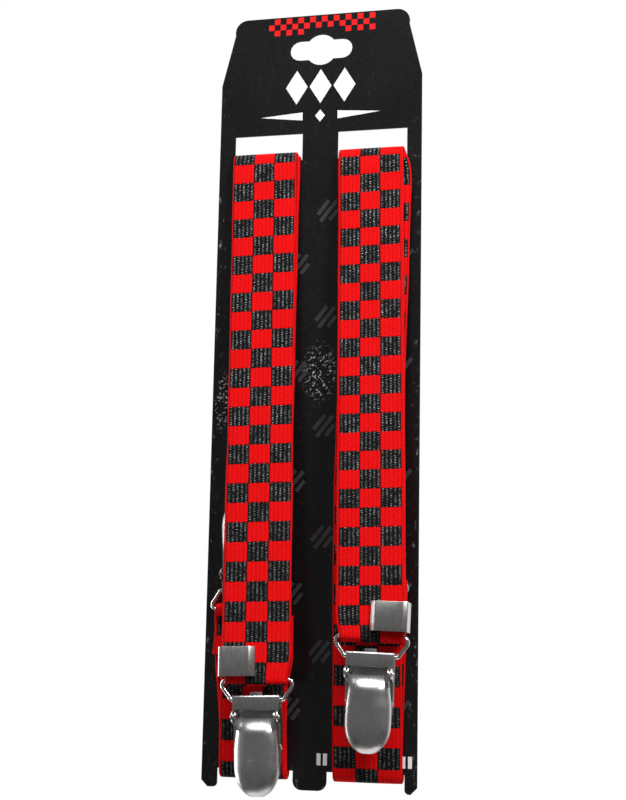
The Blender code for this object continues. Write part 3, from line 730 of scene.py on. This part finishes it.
def add_second_ply(route, side):
    """From the notch up over the back clip to the strap slot, sliding sideways into the slot."""
    route.ply = "second"
    fall = (OVER_CLIP_DEPTH - LEVEL_1) / (OVER_CLIP_TOP - STRAP_SLOT_BOTTOM)
    neck_depth = LEVEL_1 - fall * SECOND_NECK_DROP
    stops = [
        (SECOND_BOTTOM_X[side], LEVEL_2, NOTCH_TOP, 0),
        (SECOND_MID_X[side], OVER_CLIP_DEPTH, OVER_CLIP_BOTTOM, 8),
        (SECOND_MID_X[side], OVER_CLIP_DEPTH, OVER_CLIP_TOP, 2),
        (SECOND_NECK_X[side], neck_depth, STRAP_SLOT_BOTTOM - SECOND_NECK_DROP, 11),
        (SECOND_TOP_X[side], LEVEL_1, STRAP_SLOT_BOTTOM, 5),
    ]
    for (x0, y0, z0, _), (x1, y1, z1, steps) in zip(stops, stops[1:]):
        for step in range(1, steps + (z1 != STRAP_SLOT_BOTTOM)):
            t = step / steps
            route.add(between(x0, x1, ease(t)), -between(y0, y1, t), between(z0, z1, t))


def add_back_end(route, side):
    """The short ply up to the back clip, its fold round the loop's bar, and the sewn end."""
    route.ply = "back_ply"
    bar, tilt = BACK_BAR[side], BACK_TILT[side]
    bottom_x = SECOND_BOTTOM_X[side]
    neck = between(FOLD_WIDTH, WEB_WIDTH, 0.5)
    steps = 5
    rise = bar.z - NOTCH_TOP
    for step in range(1, steps + 1):
        t = step / steps
        width = WEB_WIDTH if step < steps else neck
        x = between(bottom_x, bar.x, ease(t))
        route.add(x, -LEVEL_1, NOTCH_TOP + rise * t * BACK_PLY_END, width, tilt * ease(t))
    for angle in HALF_TURN:
        y = bar.y + FOLD_RADIUS * math.cos(angle)
        route.add(bar.x, y, bar.z + FOLD_RADIUS * math.sin(angle), FOLD_WIDTH, tilt)
    for drop, level in ((2.5, LEVEL_2 + 0.9 * MM), (5.5, LEVEL_2), (11.0, LEVEL_2)):
        route.add(bar.x, -level, bar.z - drop * MM, neck, tilt)
    route.add(bar.x, -LEVEL_2, bar.z - SEWN_END_LENGTH, WEB_WIDTH, tilt)


def strap_route(side, other, raised):
    """From the front clip on its own side to the back clip on the other side."""
    route = Route()
    top_x = add_front_end(route, side)
    route.wrap(top_x, STRAP_SLOT_BOTTOM, LEVEL_2, over_top=True, towards_back=True)
    route.ply = "diagonal"
    bottom_x = SECOND_BOTTOM_X[other]
    steps = 26
    for step in range(1, steps):
        t = step / steps
        lift = ease(t / CROSSING_RISE_SHARE) * ease((1 - t) / CROSSING_RISE_SHARE)
        level = between(LEVEL_2, LEVEL_3, lift) if raised else LEVEL_2
        route.add(between(top_x, bottom_x, ease(t)), level, between(STRAP_SLOT_BOTTOM, NOTCH_TOP, t))
    route.wrap(bottom_x, NOTCH_TOP, LEVEL_2, over_top=False, towards_back=False)
    add_second_ply(route, other)
    second_x = SECOND_TOP_X[other]
    route.wrap(second_x, STRAP_SLOT_BOTTOM, LEVEL_1, over_top=True, towards_back=True)
    route.ply = "straight"
    top, foot = (second_x, LEVEL_1, STRAP_SLOT_BOTTOM), (bottom_x, LEVEL_1, NOTCH_TOP + 1 * MM)
    route.line(top, foot, 6)
    route.wrap(bottom_x, NOTCH_TOP, LEVEL_1, over_top=False, towards_back=False)
    add_back_end(route, other)
    return route.stations


def spline(stations):
    """Smooth stations through the route's own ones, about 2.5 mm apart on the plies and closer on
    the bends."""
    knots = np.array([values for values, _ in stations])
    plies = [ply for _, ply in stations]
    gaps = np.linalg.norm(np.diff(knots[:, :3], axis=0), axis=1)
    keep = np.concatenate([[True], gaps > 1e-6])
    knots, plies = knots[keep], [ply for ply, kept in zip(plies, keep) if kept]
    gaps = gaps[gaps > 1e-6]
    slopes = np.diff(knots, axis=0) / gaps[:, None]
    tangents = np.empty_like(knots)
    tangents[0], tangents[-1] = slopes[0], slopes[-1]
    before, after = gaps[:-1, None], gaps[1:, None]
    tangents[1:-1] = (slopes[:-1] * after + slopes[1:] * before) / (before + after)
    values, names = [], []
    for i, gap in enumerate(gaps):
        count = max(2, math.ceil(gap / (2.5 * MM)))
        for step in range(count):
            t = step / count
            a, b = 2 * t**3 - 3 * t**2 + 1, t**3 - 2 * t**2 + t
            c, d = 3 * t**2 - 2 * t**3, t**3 - t**2
            values.append(
                a * knots[i] + b * gap * tangents[i] + c * knots[i + 1] + d * gap * tangents[i + 1]
            )
            names.append(plies[i + 1] if plies[i] in ("wrap", "tail") else plies[i])
    values.append(knots[-1])
    names.append(plies[-1])
    return np.array(values), np.array(names)


def rows_along(side, values, plies, arc_length):
    """The row of checks at each station, from the marks, and at the marks' mean pitch past both
    ends."""
    places, rows = [], []
    for ply, height, row in ROW_MARKS[side]:
        on_ply = np.flatnonzero(plies == ply)
        order = on_ply[np.argsort(values[on_ply, 2])]
        places.append(np.interp(height * MM, values[order, 2], arc_length[order]))
        rows.append(row)
    pitch = CHECK_HEIGHT * MM
    places = [arc_length[0], *places, arc_length[-1]]
    first, last = rows[0], rows[-1]
    rows = [
        first - (places[1] - places[0]) / pitch,
        *rows,
        last + (places[-1] - places[-2]) / pitch,
    ]
    return np.interp(arc_length, places, rows)


def across_profile():
    """The strap's section: across and outward as shares of half the width and half the thickness,
    with U."""
    flat = 14
    inset = 0.035
    face = np.linspace(-1 + inset, 1 - inset, flat + 1)
    crown = [1.0 - 0.10 * abs(a) ** 6 for a in face]
    outer = [(a, n, (a + 1) / 2) for a, n in zip(face, crown)]
    turn = [
        (1 - inset + inset * math.sin(angle), math.cos(angle) * 0.9)
        for angle in (math.pi * k / 6 for k in range(1, 6))
    ]
    right = [(a, n, (a + 1) / 2) for a, n in turn]
    inner = [(a, -n, (a + 1) / 2) for a, n, _ in reversed(outer)]
    left = [(-a, n, (1 - a) / 2) for a, n in reversed(turn)]
    return outer + right + inner + left, len(outer), len(outer) + len(right) + len(inner)


def make_strap(side, other, raised, node):
    values, plies = spline(strap_route(side, other, raised))
    places, width, slant = values[:, :3], values[:, 3], values[:, 4]
    arc_length = np.concatenate([[0], np.cumsum(np.linalg.norm(np.diff(places, axis=0), axis=1))])
    rows = rows_along(side, values, plies, arc_length)
    run = np.gradient(places, arc_length, axis=0)
    run /= np.linalg.norm(run, axis=1)[:, None]
    across = np.stack([np.cos(slant), np.zeros_like(slant), -np.sin(slant)], axis=1)
    across -= (across * run).sum(1)[:, None] * run
    across /= np.linalg.norm(across, axis=1)[:, None]
    outward = np.cross(across, run)

    # The elastic never lies quite flat: each edge wanders by a tenth of a millimetre or so.
    phase = {"left": 0.4, "right": 2.1}[side]
    wander = 0.07 * MM * np.sin(arc_length / (9.0 * MM) + phase)
    wander += 0.05 * MM * np.sin(arc_length / (4.3 * MM) + 2 * phase)
    narrowing = 1 + 0.004 * np.sin(arc_length / (6.5 * MM) + phase)

    def weave_u(share):
        return WEAVE_MIDDLE + (share * WEB_WIDTH - COLUMNS_MIDDLE[side]) / COLUMNS_SPREAD[side]

    profile, outer_count, face_end = across_profile()
    bm = bmesh.new()
    uv_layer = bm.loops.layers.uv.new("weave")
    rings = []
    for i in range(len(places)):
        half_w = width[i] / 2 * narrowing[i]
        ring = []
        for a, n, _ in profile:
            lift = n * SHOWN_THICKNESS / 2 + wander[i] * a * abs(a)
            ring.append(bm.verts.new(places[i] + across[i] * a * half_w + outward[i] * lift))
        rings.append(ring)
    count = len(profile)
    for i in range(len(rings) - 1):
        for j in range(count):
            k = (j + 1) % count
            face = bm.faces.new((rings[i][j], rings[i][k], rings[i + 1][k], rings[i + 1][j]))
            inner_face = outer_count + 4 <= j < face_end - 1
            face.material_index = 1 if inner_face else 0
            for loop, (station, point) in zip(face.loops, ((i, j), (i, k), (i + 1, k), (i + 1, j))):
                loop[uv_layer].uv = (weave_u(profile[point][2]), rows[station] * CHECK_HEIGHT * MM)
    for ring, station in ((rings[0], 0), (rings[-1], -1)):
        cap = bm.faces.new(ring)
        for loop, (_, _, u) in zip(cap.loops, profile):
            loop[uv_layer].uv = (weave_u(u), rows[station] * CHECK_HEIGHT * MM)
    strap = from_bmesh(f"webbing_strap_{side}", bm, WEAVES[side])
    smooth(strap, 60)
    dress(strap, "root", node)


make_strap("left", "right", False, "strap_left_front_to_right_back")
make_strap("right", "left", True, "strap_right_front_to_left_back")

# ---------------------------------------------------------------- clips

WIRE_RADIUS = 0.8 * MM
LOOP_HALF_WIDTH = 13.05 * MM
LOOP_FOOT_HALF_WIDTH = 10.0 * MM
LOOP_DROP = 7.0 * MM
LOOP_CORNER_RADIUS = 1.7 * MM
SHEET = 0.6 * MM
BOX_WIDTH = 17.3 * MM
LEVER_SHEET = 0.7 * MM
LEVER_TOP = -13.4 * MM
LEVER_LENGTH = 27.6 * MM
LEVER_HALF_WIDTH = 8.35 * MM
LEVER_NECK_HALF_WIDTH = 7.55 * MM
LEVER_RIM_DEPTH = -1.5 * MM
LEVER_DOME = 3.7 * MM
PIVOT = Vector((0.0, -3.2 * MM, -12.8 * MM))
PIN_RADIUS = 0.75 * MM
EAR_RADIUS = 2.0 * MM
FLANGE_DEPTH = -0.8 * MM
FLANGE_FOOT = -24.5 * MM
CHEEK_RADIUS = 1.6 * MM
CHEEK_OFFSET = 7.2 * MM
CHEEK_FOOT = -17.5 * MM
TONGUE_DEPTH = -1.4 * MM
TONGUE_WIDTH = 4.4 * MM
JAW_WIDTH = 12.6 * MM
TIP_TOP = -31.0 * MM
TIP_HALF_WIDTH = 7.7 * MM
TIP_LENGTH = 8.9 * MM
PIN_SIDES = 20
PIN_DOME = 0.45 * MM
# Side profiles in millimetres: (depth, height).
PLATE_PROFILE = (
    *((-2.3, -10.3), (-2.3, -5.6), (1.4, -5.6), (1.4, -10.0)),
    *((1.9, -14.0), (1.9, -17.5), (1.9, -35.0), (0.75, -39.2)),
)
JAW_PROFILE = (
    *((-1.4, -4.2), (-1.4, -9.2), (-0.7, -10.6), (-0.5, -14.0)),
    *((-0.1, -18.0), (0.0, -30.0), (-0.3, -39.0)),
)
JAW_SPLIT = (-1.30 * MM, -9.4 * MM)
SIDEWAYS = Matrix(((0, 0, 1, 0), (1, 0, 0, 0), (0, 1, 0, 0), (0, 0, 0, 1)))


def clip_place(bar, turn):
    return Matrix.Translation(bar) @ Euler((0.0, turn, 0.0)).to_matrix().to_4x4()


def bent_strip(name, profile, width, thickness, material):
    """Sheet metal bent to a side profile of (depth, height) points, of one width across X."""
    obj = curve(name, [[tuple(point) for point in profile]], material, cyclic=False)
    obj.data.fill_mode = "NONE"
    obj.data.extrude = width / 2
    obj.matrix_world = SIDEWAYS
    obj = baked(obj)
    weld(obj)
    return thickened(obj, thickness)


def weld(obj):
    bm = bmesh.new()
    bm.from_mesh(obj.data)
    bmesh.ops.remove_doubles(bm, verts=bm.verts, dist=0.001 * MM)
    bmesh.ops.recalc_face_normals(bm, faces=bm.faces)
    bm.to_mesh(obj.data)
    bm.free()


def flat_cheek(name, outline, middle_x, material):
    """A flat plate across X, from a (depth, height) outline."""
    obj = curve(name, [outline], material)
    obj.data.fill_mode = "BOTH"
    obj.data.extrude = SHEET / 2
    obj.matrix_world = Matrix.Translation((middle_x, 0, 0)) @ SIDEWAYS
    obj = baked(obj)
    weld(obj)
    bevelled(obj, 0.09 * MM)
    return baked(obj)


def pin_head(name, x_from, x_to, material):
    """A short pin across X with a domed outer end."""
    bm = bmesh.new()
    rings = 6
    way = 1 if x_to > x_from else -1
    profile = [(x_from, PIN_RADIUS)]
    for step in range(rings + 1):
        angle = math.pi / 2 * step / rings
        x = x_to - way * PIN_DOME * (1 - math.sin(angle))
        profile.append((x, max(PIN_RADIUS * math.cos(angle), 1e-6)))
    last = None
    for x, radius in profile:
        ring = [
            bm.verts.new((x, PIVOT.y + radius * math.cos(a), PIVOT.z + radius * math.sin(a)))
            for a in (math.tau * k / PIN_SIDES for k in range(PIN_SIDES))
        ]
        if last:
            bridge(bm, last, ring)
        last = ring
    bm.faces.new(last)
    return from_bmesh(name, bm, [material])


def loop_shape(name):
    """Bent wire: a bar as wide as the strap's fold, legs drawn in, and a bar through the box."""
    r = LOOP_CORNER_RADIUS
    top, foot = LOOP_HALF_WIDTH, LOOP_FOOT_HALF_WIDTH
    right_half = [
        (0.0, 0.0),
        *arc((top - r, -r), r, 90, -38, 14),
        *arc((foot - 0.9 * MM, -LOOP_DROP + 1.2 * MM), 1.2 * MM, -15, -90, 9),
        (0.0, -LOOP_DROP),
    ]
    left_half = [(-x, z) for x, z in reversed(right_half[1:-1])]
    path = [(x, 0.0, z) for x, z in right_half + left_half]
    obj = curve(name, [path], WIRE, dimensions="3D")
    obj.data.bevel_depth = WIRE_RADIUS
    obj.data.bevel_resolution = 5
    return baked(obj)


def narrowed(obj, below, factor):
    for vert in obj.data.vertices:
        if vert.co.z < below:
            vert.co.x *= factor


def plate_shape(name):
    """Box rolled round the loop's lower bar, back jaw, and two ears with the lever's pins."""
    profile = filleted([(y * MM, z * MM) for y, z in PLATE_PROFILE], 0.7 * MM)
    plate = bent_strip(name, profile, BOX_WIDTH, SHEET, NICKEL)
    narrowed(plate, FLANGE_FOOT, 0.88)
    plate = cut(plate, slot_tool(name))
    plate = baked(bevelled(cut(plate, tip_tool(name)), 0.12 * MM))
    pieces = [plate]
    for hand, sign in (("a", -1), ("b", 1)):
        outline = [
            *arc((PIVOT.y, PIVOT.z), EAR_RADIUS, 90, 270, 18),
            (FLANGE_DEPTH, PIVOT.z - EAR_RADIUS - 1 * MM),
            (FLANGE_DEPTH, FLANGE_FOOT + 2 * MM),
            (1.75 * MM, FLANGE_FOOT),
            (1.45 * MM, -9.6 * MM),
            (-0.6 * MM, -9.6 * MM),
        ]
        middle = sign * (BOX_WIDTH - SHEET) / 2
        pieces.append(flat_cheek(f"{name}_ear_{hand}", outline, middle, NICKEL))
        pieces.append(pin_head(f"{name}_pin_{hand}", sign * 7.1 * MM, sign * 9.3 * MM, NICKEL))
    return joined(name, pieces)


def cut(obj, tool):
    modifier = obj.modifiers.new("cut", "BOOLEAN")
    modifier.operation, modifier.solver, modifier.object = "DIFFERENCE", "EXACT", tool
    obj = baked(obj)
    bpy.data.objects.remove(tool)
    return obj


def tip_tool(name):
    """The waste round a jaw's rounded tip, which keeps it inside the lever's outline."""
    steps = 32
    turns = [math.pi * step / steps for step in range(steps + 1)]
    outline = [
        (TIP_HALF_WIDTH * math.cos(turn), TIP_TOP - TIP_LENGTH * math.sin(turn)) for turn in turns
    ]
    side, below = BOX_WIDTH, TIP_TOP - 2 * TIP_LENGTH
    outline += [(-side, TIP_TOP), (-side, below), (side, below), (side, TIP_TOP)]
    tool = curve(name + "_tip_tool", [outline], NICKEL)
    tool.data.fill_mode = "BOTH"
    tool.data.extrude = BOX_WIDTH / 4
    tool.matrix_world = Matrix.Rotation(math.pi / 2, 4, "X")
    tool = baked(tool)
    weld(tool)
    return tool


def slot_tool(name):
    bm = bmesh.new()
    bmesh.ops.create_cube(bm, size=1.0)
    size = Vector((TONGUE_WIDTH + 2 * GAP, 1.2 * MM, 1.2 * MM))
    bmesh.ops.scale(bm, vec=size, verts=bm.verts)
    bmesh.ops.translate(bm, vec=(0.0, TONGUE_DEPTH, -5.6 * MM), verts=bm.verts)
    return from_bmesh(name + "_slot_tool", bm, [NICKEL])


def jaw_shape(name):
    """Spring jaw: a tongue through the box's slot, and a plate that bears on the back jaw's tip."""
    profile = filleted([(y * MM, z * MM) for y, z in JAW_PROFILE], 0.8 * MM)
    split = Vector(JAW_SPLIT)
    upper = [point for point in profile if point.y > JAW_SPLIT[1]] + [split]
    lower = [split] + [point for point in profile if point.y < JAW_SPLIT[1]]
    # The jaw takes the darker nickel: painted shade inside the clip.
    tongue = bent_strip(name + "_tongue", upper, TONGUE_WIDTH, SHEET, NICKEL_IN_PAINTED_SHADE)
    tongue = bevelled(tongue, 0.1 * MM)
    plate = bent_strip(name, lower, JAW_WIDTH, SHEET, NICKEL_IN_PAINTED_SHADE)
    plate = bevelled(cut(plate, tip_tool(name)), 0.1 * MM)
    return joined(name, [baked(plate), baked(tongue)])


def lever_point(u, v):
    """Outer face of the domed lever; u runs across from -1 to 1, v from its top edge to its tip."""
    swell = between(LEVER_NECK_HALF_WIDTH, LEVER_HALF_WIDTH, ease((v - 0.08) / 0.36))
    round_from = 0.60
    end = max(0.0, (v - round_from) / (1 - round_from))
    half_width = swell * math.sqrt(max(0.0, 1 - end**2.15))
    crown = (1 - abs(u) ** 2.8) ** 0.62
    shoulder = 0.45 + 0.55 * ease(v / 0.2)
    nose = math.sqrt(max(0.0, 1 - max(0.0, (v - 0.5) / 0.5) ** 3.0))
    depth = LEVER_RIM_DEPTH - LEVER_DOME * crown * shoulder * nose
    return Vector((u * half_width, depth, LEVER_TOP - LEVER_LENGTH * v))


def lever_shape(name):
    """Domed shell with two cheeks that turn on the ears' pins."""
    across, along = 44, 56
    bm = bmesh.new()
    bmesh.ops.create_grid(bm, x_segments=across, y_segments=along, size=1.0)
    for vert in bm.verts:
        u = math.sin(vert.co.x * math.pi / 2)
        t = (1 - vert.co.y) / 2
        v = 0.985 * (0.35 * t + 0.65 * (1 - math.cos(math.pi * t)) / 2)
        vert.co = lever_point(u, v)
    lever = from_bmesh(name, bm, [NICKEL])
    middle = lever.data.polygons[across * along // 2 + across // 2]
    if middle.normal.y > 0:
        lever.data.flip_normals()
    bevelled(thickened(lever, LEVER_SHEET, offset=-1.0), 0.13 * MM, degrees=50)
    pieces = [baked(lever)]
    for hand, sign in (("a", -1), ("b", 1)):
        outline = [
            *arc((PIVOT.y, PIVOT.z), CHEEK_RADIUS, 0, 180, 14),
            (PIVOT.y - 0.9 * MM, CHEEK_FOOT),
            (-1.7 * MM, CHEEK_FOOT),
        ]
        pieces.append(flat_cheek(f"{name}_cheek_{hand}", outline, sign * CHEEK_OFFSET, NICKEL))
    return joined(name, pieces)


def make_clips():
    shapes = {
        "wire_loop": (loop_shape("loop_shape"), "wire"),
        "clip_plate": (plate_shape("plate_shape"), "plated_steel"),
        "clip_jaw": (jaw_shape("jaw_shape"), "plated_steel"),
        "clip_lever": (lever_shape("lever_shape"), "plated_steel"),
    }
    for kind in ("front", "back"):
        for side in SIDES:
            bar = FRONT_BAR[side] if kind == "front" else BACK_BAR[side]
            turn = FRONT_TILT[side] if kind == "front" else math.pi + BACK_TILT[side]
            place = clip_place(bar, turn)
            for part, (shape, slot) in shapes.items():
                mesh = shape.data.copy()
                mesh.transform(place)
                obj = bpy.data.objects.new(f"{part}_{kind}_{side}", mesh)
                into_scene(obj)
                smooth(obj)
                # The back clips' plate, jaw and lever take the darker nickel: painted shade between
                # the plies.
                if kind == "back" and part != "wire_loop":
                    mesh.materials[0] = NICKEL_IN_PAINTED_SHADE
                body = f"{part}_{side}" if kind == "front" else "root"
                dress(obj, body, f"{kind}_{part}_{side}")
    for shape, _ in shapes.values():
        bpy.data.objects.remove(shape)


make_clips()

# ---------------------------------------------------------------- adjusters

ADJUSTER_CENTRE_Z = sided(-244.3, -227.5)
ADJUSTER_HEIGHT = 10.6 * MM
OUTWARD = sided(-1.0, 1.0, unit=1)


def make_adjuster(side):
    """C-shaped clamp: a dished face, a wall round the strap's outer edge, a back leg and a biting
    lip."""
    bar, up = FRONT_BAR[side], front_ply_direction(side)
    out = OUTWARD[side]
    rise = (ADJUSTER_CENTRE_Z[side] - bar.z) / up.z
    slope = (FRONT_TOP_X[side] - bar.x) / (STRAP_SLOT_BOTTOM - bar.z)
    forward = Vector((0.0, -up.z, up.y))
    centre = bar + forward * FOLD_RADIUS + up * rise
    centre.x = bar.x + slope * (ADJUSTER_CENTRE_Z[side] - bar.z)
    tail_back = 2 * FOLD_RADIUS + WEB_THICKNESS / 2
    edge = WEB_WIDTH / 2 + 0.75 * MM
    profile = [
        (0.3 * MM, -1.30 * MM),
        (2.2 * MM, -2.75 * MM),
        (7.2 * MM, -2.45 * MM),
        (11.9 * MM, -2.75 * MM),
        (edge, -2.2 * MM),
        (edge, tail_back + 0.6 * MM),
        (2.0 * MM, tail_back + 0.6 * MM),
    ]
    profile = filleted([(out * u, d) for u, d in profile], 0.8 * MM)
    path = [tuple(point) for point in profile]
    obj = curve(f"adjuster_clamp_{side}", [path], NICKEL, cyclic=False)
    obj.data.fill_mode = "NONE"
    obj.data.extrude = ADJUSTER_HEIGHT / 2
    lean = math.atan2(up.y, up.z)
    obj = baked(obj)
    weld(obj)
    obj.data.transform(
        Matrix.Translation(centre) @ Euler((-lean, FRONT_TILT[side], 0.0)).to_matrix().to_4x4()
    )
    obj = smooth(baked(bevelled(thickened(obj, SHEET), 0.12 * MM)))
    dress(obj, f"adjuster_{side}", f"slide_adjuster_{side}")


for side in SIDES:
    make_adjuster(side)

# ---------------------------------------------------------------- patch and stitching

PATCH_HALF_WIDTH = 11.5 * MM
PATCH_HALF_HEIGHT = 17.0 * MM
PATCH_THICKNESS = 1.2 * MM
PATCH_WAIST = 0.55
PATCH_SEAM_INSET = 2.2 * MM
SEWN_END_SEAM_HALF_WIDTH = 9.0 * MM
THREAD_RADIUS = 0.26 * MM
# The patch's rings: the height as a share of its thickness, and how far in from its outline in mm.
PATCH_RINGS = (
    *((0.0, 0.05), (0.10, 0.02), (0.45, 0.0), (0.75, 0.12), (0.98, 0.45), (1.00, 1.0)),
    *((0.86, 1.7), (0.72, 2.2), (0.88, 2.9), (0.98, 4.2), (1.02, 6.5)),
)
PATCH_SIDE_STEPS = 6
STITCH_LENGTH = 2.1 * MM
STITCH_GAP = 0.5 * MM


def stitches(name, outline, depth, outward, closed=True):
    """A row of separate stitches on a flat face, each dipping into the cloth at its ends."""
    points = [Vector(p) for p in outline]
    if closed:
        points.append(points[0])
    runs = []
    for start, end in zip(points, points[1:]):
        length = (end - start).length
        count = max(1, round(length / (STITCH_LENGTH + STITCH_GAP)))
        step = length / count
        along = (end - start) / length
        for k in range(count):
            first = start + along * (k * step + STITCH_GAP / 2)
            last = start + along * ((k + 1) * step - STITCH_GAP / 2)
            runs.append((first, last))
    loops = []
    for first, last in runs:
        path = []
        for k in range(7):
            t = k / 6
            place = first.lerp(last, t)
            rise = outward * (0.18 * MM * math.sin(math.pi * t) - 0.06 * MM)
            path.append((place.x, depth + rise, place.y))
        loops.append(path)
    obj = curve(name, loops, THREAD, cyclic=False, dimensions="3D")
    obj.data.bevel_depth = THREAD_RADIUS
    obj.data.bevel_resolution = 3
    obj.data.use_fill_caps = True
    return smooth(baked(obj), 60)


def hexagon(x, z, inset):
    half_w, half_h = PATCH_HALF_WIDTH - inset, PATCH_HALF_HEIGHT - inset
    waist = half_h * PATCH_WAIST
    return [
        (x - half_w, z - waist),
        (x, z - half_h),
        (x + half_w, z - waist),
        (x + half_w, z + waist),
        (x, z + half_h),
        (x - half_w, z + waist),
    ]


def make_patch():
    """A leatherette patch sewn over the crossing, pressed in along its seam."""
    x = sum((*FRONT_TOP_X.values(), *SECOND_BOTTOM_X.values())) / 4
    z = (STRAP_SLOT_BOTTOM + NOTCH_TOP) / 2
    inner = LEVEL_3 + WEB_THICKNESS / 2 + GAP
    bm = bmesh.new()
    last = None
    for height, inset in PATCH_RINGS:
        corners = hexagon(x, z, inset * MM)
        points = [
            Vector(corner).lerp(Vector(following), step / PATCH_SIDE_STEPS)
            for corner, following in zip(corners, corners[1:] + corners[:1])
            for step in range(PATCH_SIDE_STEPS)
        ]
        ring = [bm.verts.new((p.x, inner + PATCH_THICKNESS * height, p.y)) for p in points]
        if last:
            bridge(bm, last, ring)
        else:
            bm.faces.new(ring)
        last = ring
    middle = bm.verts.new((x, inner + PATCH_THICKNESS * 1.03, z))
    for k in range(len(last)):
        bm.faces.new((last[k], last[(k + 1) % len(last)], middle))
    patch = smooth(from_bmesh("leatherette_patch", bm, [LEATHERETTE]), 50)
    dress(patch, "root", "cross_patch")
    seam = stitches(
        "patch_seam", hexagon(x, z, PATCH_SEAM_INSET), inner + PATCH_THICKNESS * 0.9, 1.0
    )
    dress(seam, "root", "cross_patch_stitching")


def make_sewn_end_stitching(side):
    bar, tilt = BACK_BAR[side], BACK_TILT[side]
    half_w = SEWN_END_SEAM_HALF_WIDTH
    top, bottom = bar.z - 8 * MM, bar.z - SEWN_END_LENGTH + 2 * MM
    corners = [
        (bar.x - half_w, bottom),
        (bar.x + half_w, bottom),
        (bar.x + half_w, top),
        (bar.x - half_w, top),
    ]
    depth = -(LEVEL_2 + SHOWN_THICKNESS / 2)
    seam = stitches(f"sewn_end_seam_{side}", corners, depth, -1.0)
    dress(seam, "root", f"back_end_stitching_{side}")


make_patch()
for side in SIDES:
    make_sewn_end_stitching(side)

# ---------------------------------------------------------------- card and its plain print

CARD_FACE = -0.3 * MM
INK_LIFT = 0.03 * MM
# In millimetres: the strip of checks, its place and the width that the hang slot takes from its
# lowest row.
PRINT_COLUMNS, PRINT_ROWS = 18, 3
PRINT_PITCH, PRINT_CHECK = 2.4, 2.3
PRINT_BOTTOM = 1.7
SLOT_REACH = 8.0
# The emblem's diamonds and wedges, and the blocks at the foot.
DIAMONDS = (
    *((-9.6, -21.5, 8.8, 14.0), (0.0, -21.5, 8.8, 14.0), (9.6, -21.5, 8.8, 14.0)),
    (0.0, -33.6, 4.0, 5.0),
)
WEDGE = ((7.0, -31.9), (7.0, -35.2), (24.0, -33.2))
FOOT_BLOCKS_X = (4.0, 6.4, 35.2, 37.6)
# Each group of slanting bars: how far they turn, their lengths, width and spacing.
HATCH_TURN = math.radians(52)
HATCH_LENGTHS = (7.0, 10.0, 5.0)
HATCH_WIDTH = 1.5
HATCH_SPACING = 2.6
HATCH_MARGIN = 1.0


def print_on_card(name, outlines, material):
    """Flat shapes of ink on the card's front, each an (x, z) outline in metres."""
    bm = bmesh.new()
    for outline in outlines:
        bm.faces.new([bm.verts.new((x, CARD_FACE - INK_LIFT, z)) for x, z in outline])
    bmesh.ops.triangulate(bm, faces=bm.faces)
    obj = from_bmesh(name, bm, [material])
    for polygon in obj.data.polygons:
        if polygon.normal.y > 0:
            polygon.flip()
    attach(obj, "root")


def box_outline(x, z, width, height, turn=0.0):
    c, s = math.cos(turn), math.sin(turn)
    outline = []
    for a, b in ((-1, -1), (1, -1), (1, 1), (-1, 1)):
        px, pz = a * width / 2, b * height / 2
        outline.append(((x + px * c - pz * s) * MM, (z + px * s + pz * c) * MM))
    return outline


def print_card():
    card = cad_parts["display_card"]
    card.data.materials.clear()
    card.data.materials.append(CARD_LOOK)
    bevelled(card, 0.08 * MM, segments=2, degrees=60)
    checks = []
    for column in range(PRINT_COLUMNS):
        for row in range(PRINT_ROWS):
            x = PRINT_PITCH * (column - (PRINT_COLUMNS - 1) / 2)
            over_slot = row == 0 and abs(x) < SLOT_REACH
            if (column + row) % 2 and not over_slot:
                z = PRINT_BOTTOM + PRINT_PITCH * row
                checks.append(box_outline(x, z, PRINT_CHECK, PRINT_CHECK))
    print_on_card("card_title_checks", checks, RED_INK)
    white = [diamond(*numbers) for numbers in DIAMONDS]
    white += [[(way * x * MM, z * MM) for x, z in WEDGE] for way in (-1, 1)]
    white += [box_outline(x, -279.0, 1.5, 4.2) for x in FOOT_BLOCKS_X]
    print_on_card("card_emblem", white, WHITE_INK)
    print_on_card("card_hatching", hatching(), GREY_INK)


def diamond(x, z, width, height):
    corners = ((-width, 0), (0, -height), (width, 0), (0, height))
    return [((x + a / 2) * MM, (z + b / 2) * MM) for a, b in corners]


# Parts of the card, in millimetres, that the hatching keeps clear of: (left, right, bottom, top).
KEPT_CLEAR = (
    (-26.0, 26.0, -39.0, 10.0),
    (-35.5, -5.5, -54.0, -38.0),
    (6.0, 36.5, -54.0, -38.0),
    (-36.0, -4.0, -292.0, -278.0),
    (1.5, 41.0, -292.0, -275.5),
)


def hatching():
    """Groups of slanting bars, in staggered rows down the card."""
    c, s = math.cos(HATCH_TURN), math.sin(HATCH_TURN)
    bars = []
    for row in range(14):
        for column in range(4):
            x0 = -31.0 + 22.0 * column + (11.0 if row % 2 else 0.0)
            z0 = -8.0 - 21.0 * row
            for k, length in enumerate(HATCH_LENGTHS):
                x, z = x0 + HATCH_SPACING * k * s, z0 - HATCH_SPACING * k * c
                reach_x, reach_z = length / 2 * c + HATCH_MARGIN, length / 2 * s + HATCH_MARGIN
                spans = (x - reach_x, x + reach_x, z - reach_z, z + reach_z)
                clear = not any(overlap(spans, area) for area in KEPT_CLEAR)
                on_card = abs(x) + reach_x < 34.0 + 4.5 * (z < -24.0) and -288.0 < z < 4.0
                if clear and on_card:
                    bars.append(box_outline(x, z, length, HATCH_WIDTH, HATCH_TURN))
    return bars


def overlap(spans, area):
    """Whether two rectangles of (left, right, bottom, top) meet."""
    across = spans[1] >= area[0] and spans[0] <= area[1]
    return across and spans[3] >= area[2] and spans[2] <= area[3]


print_card()
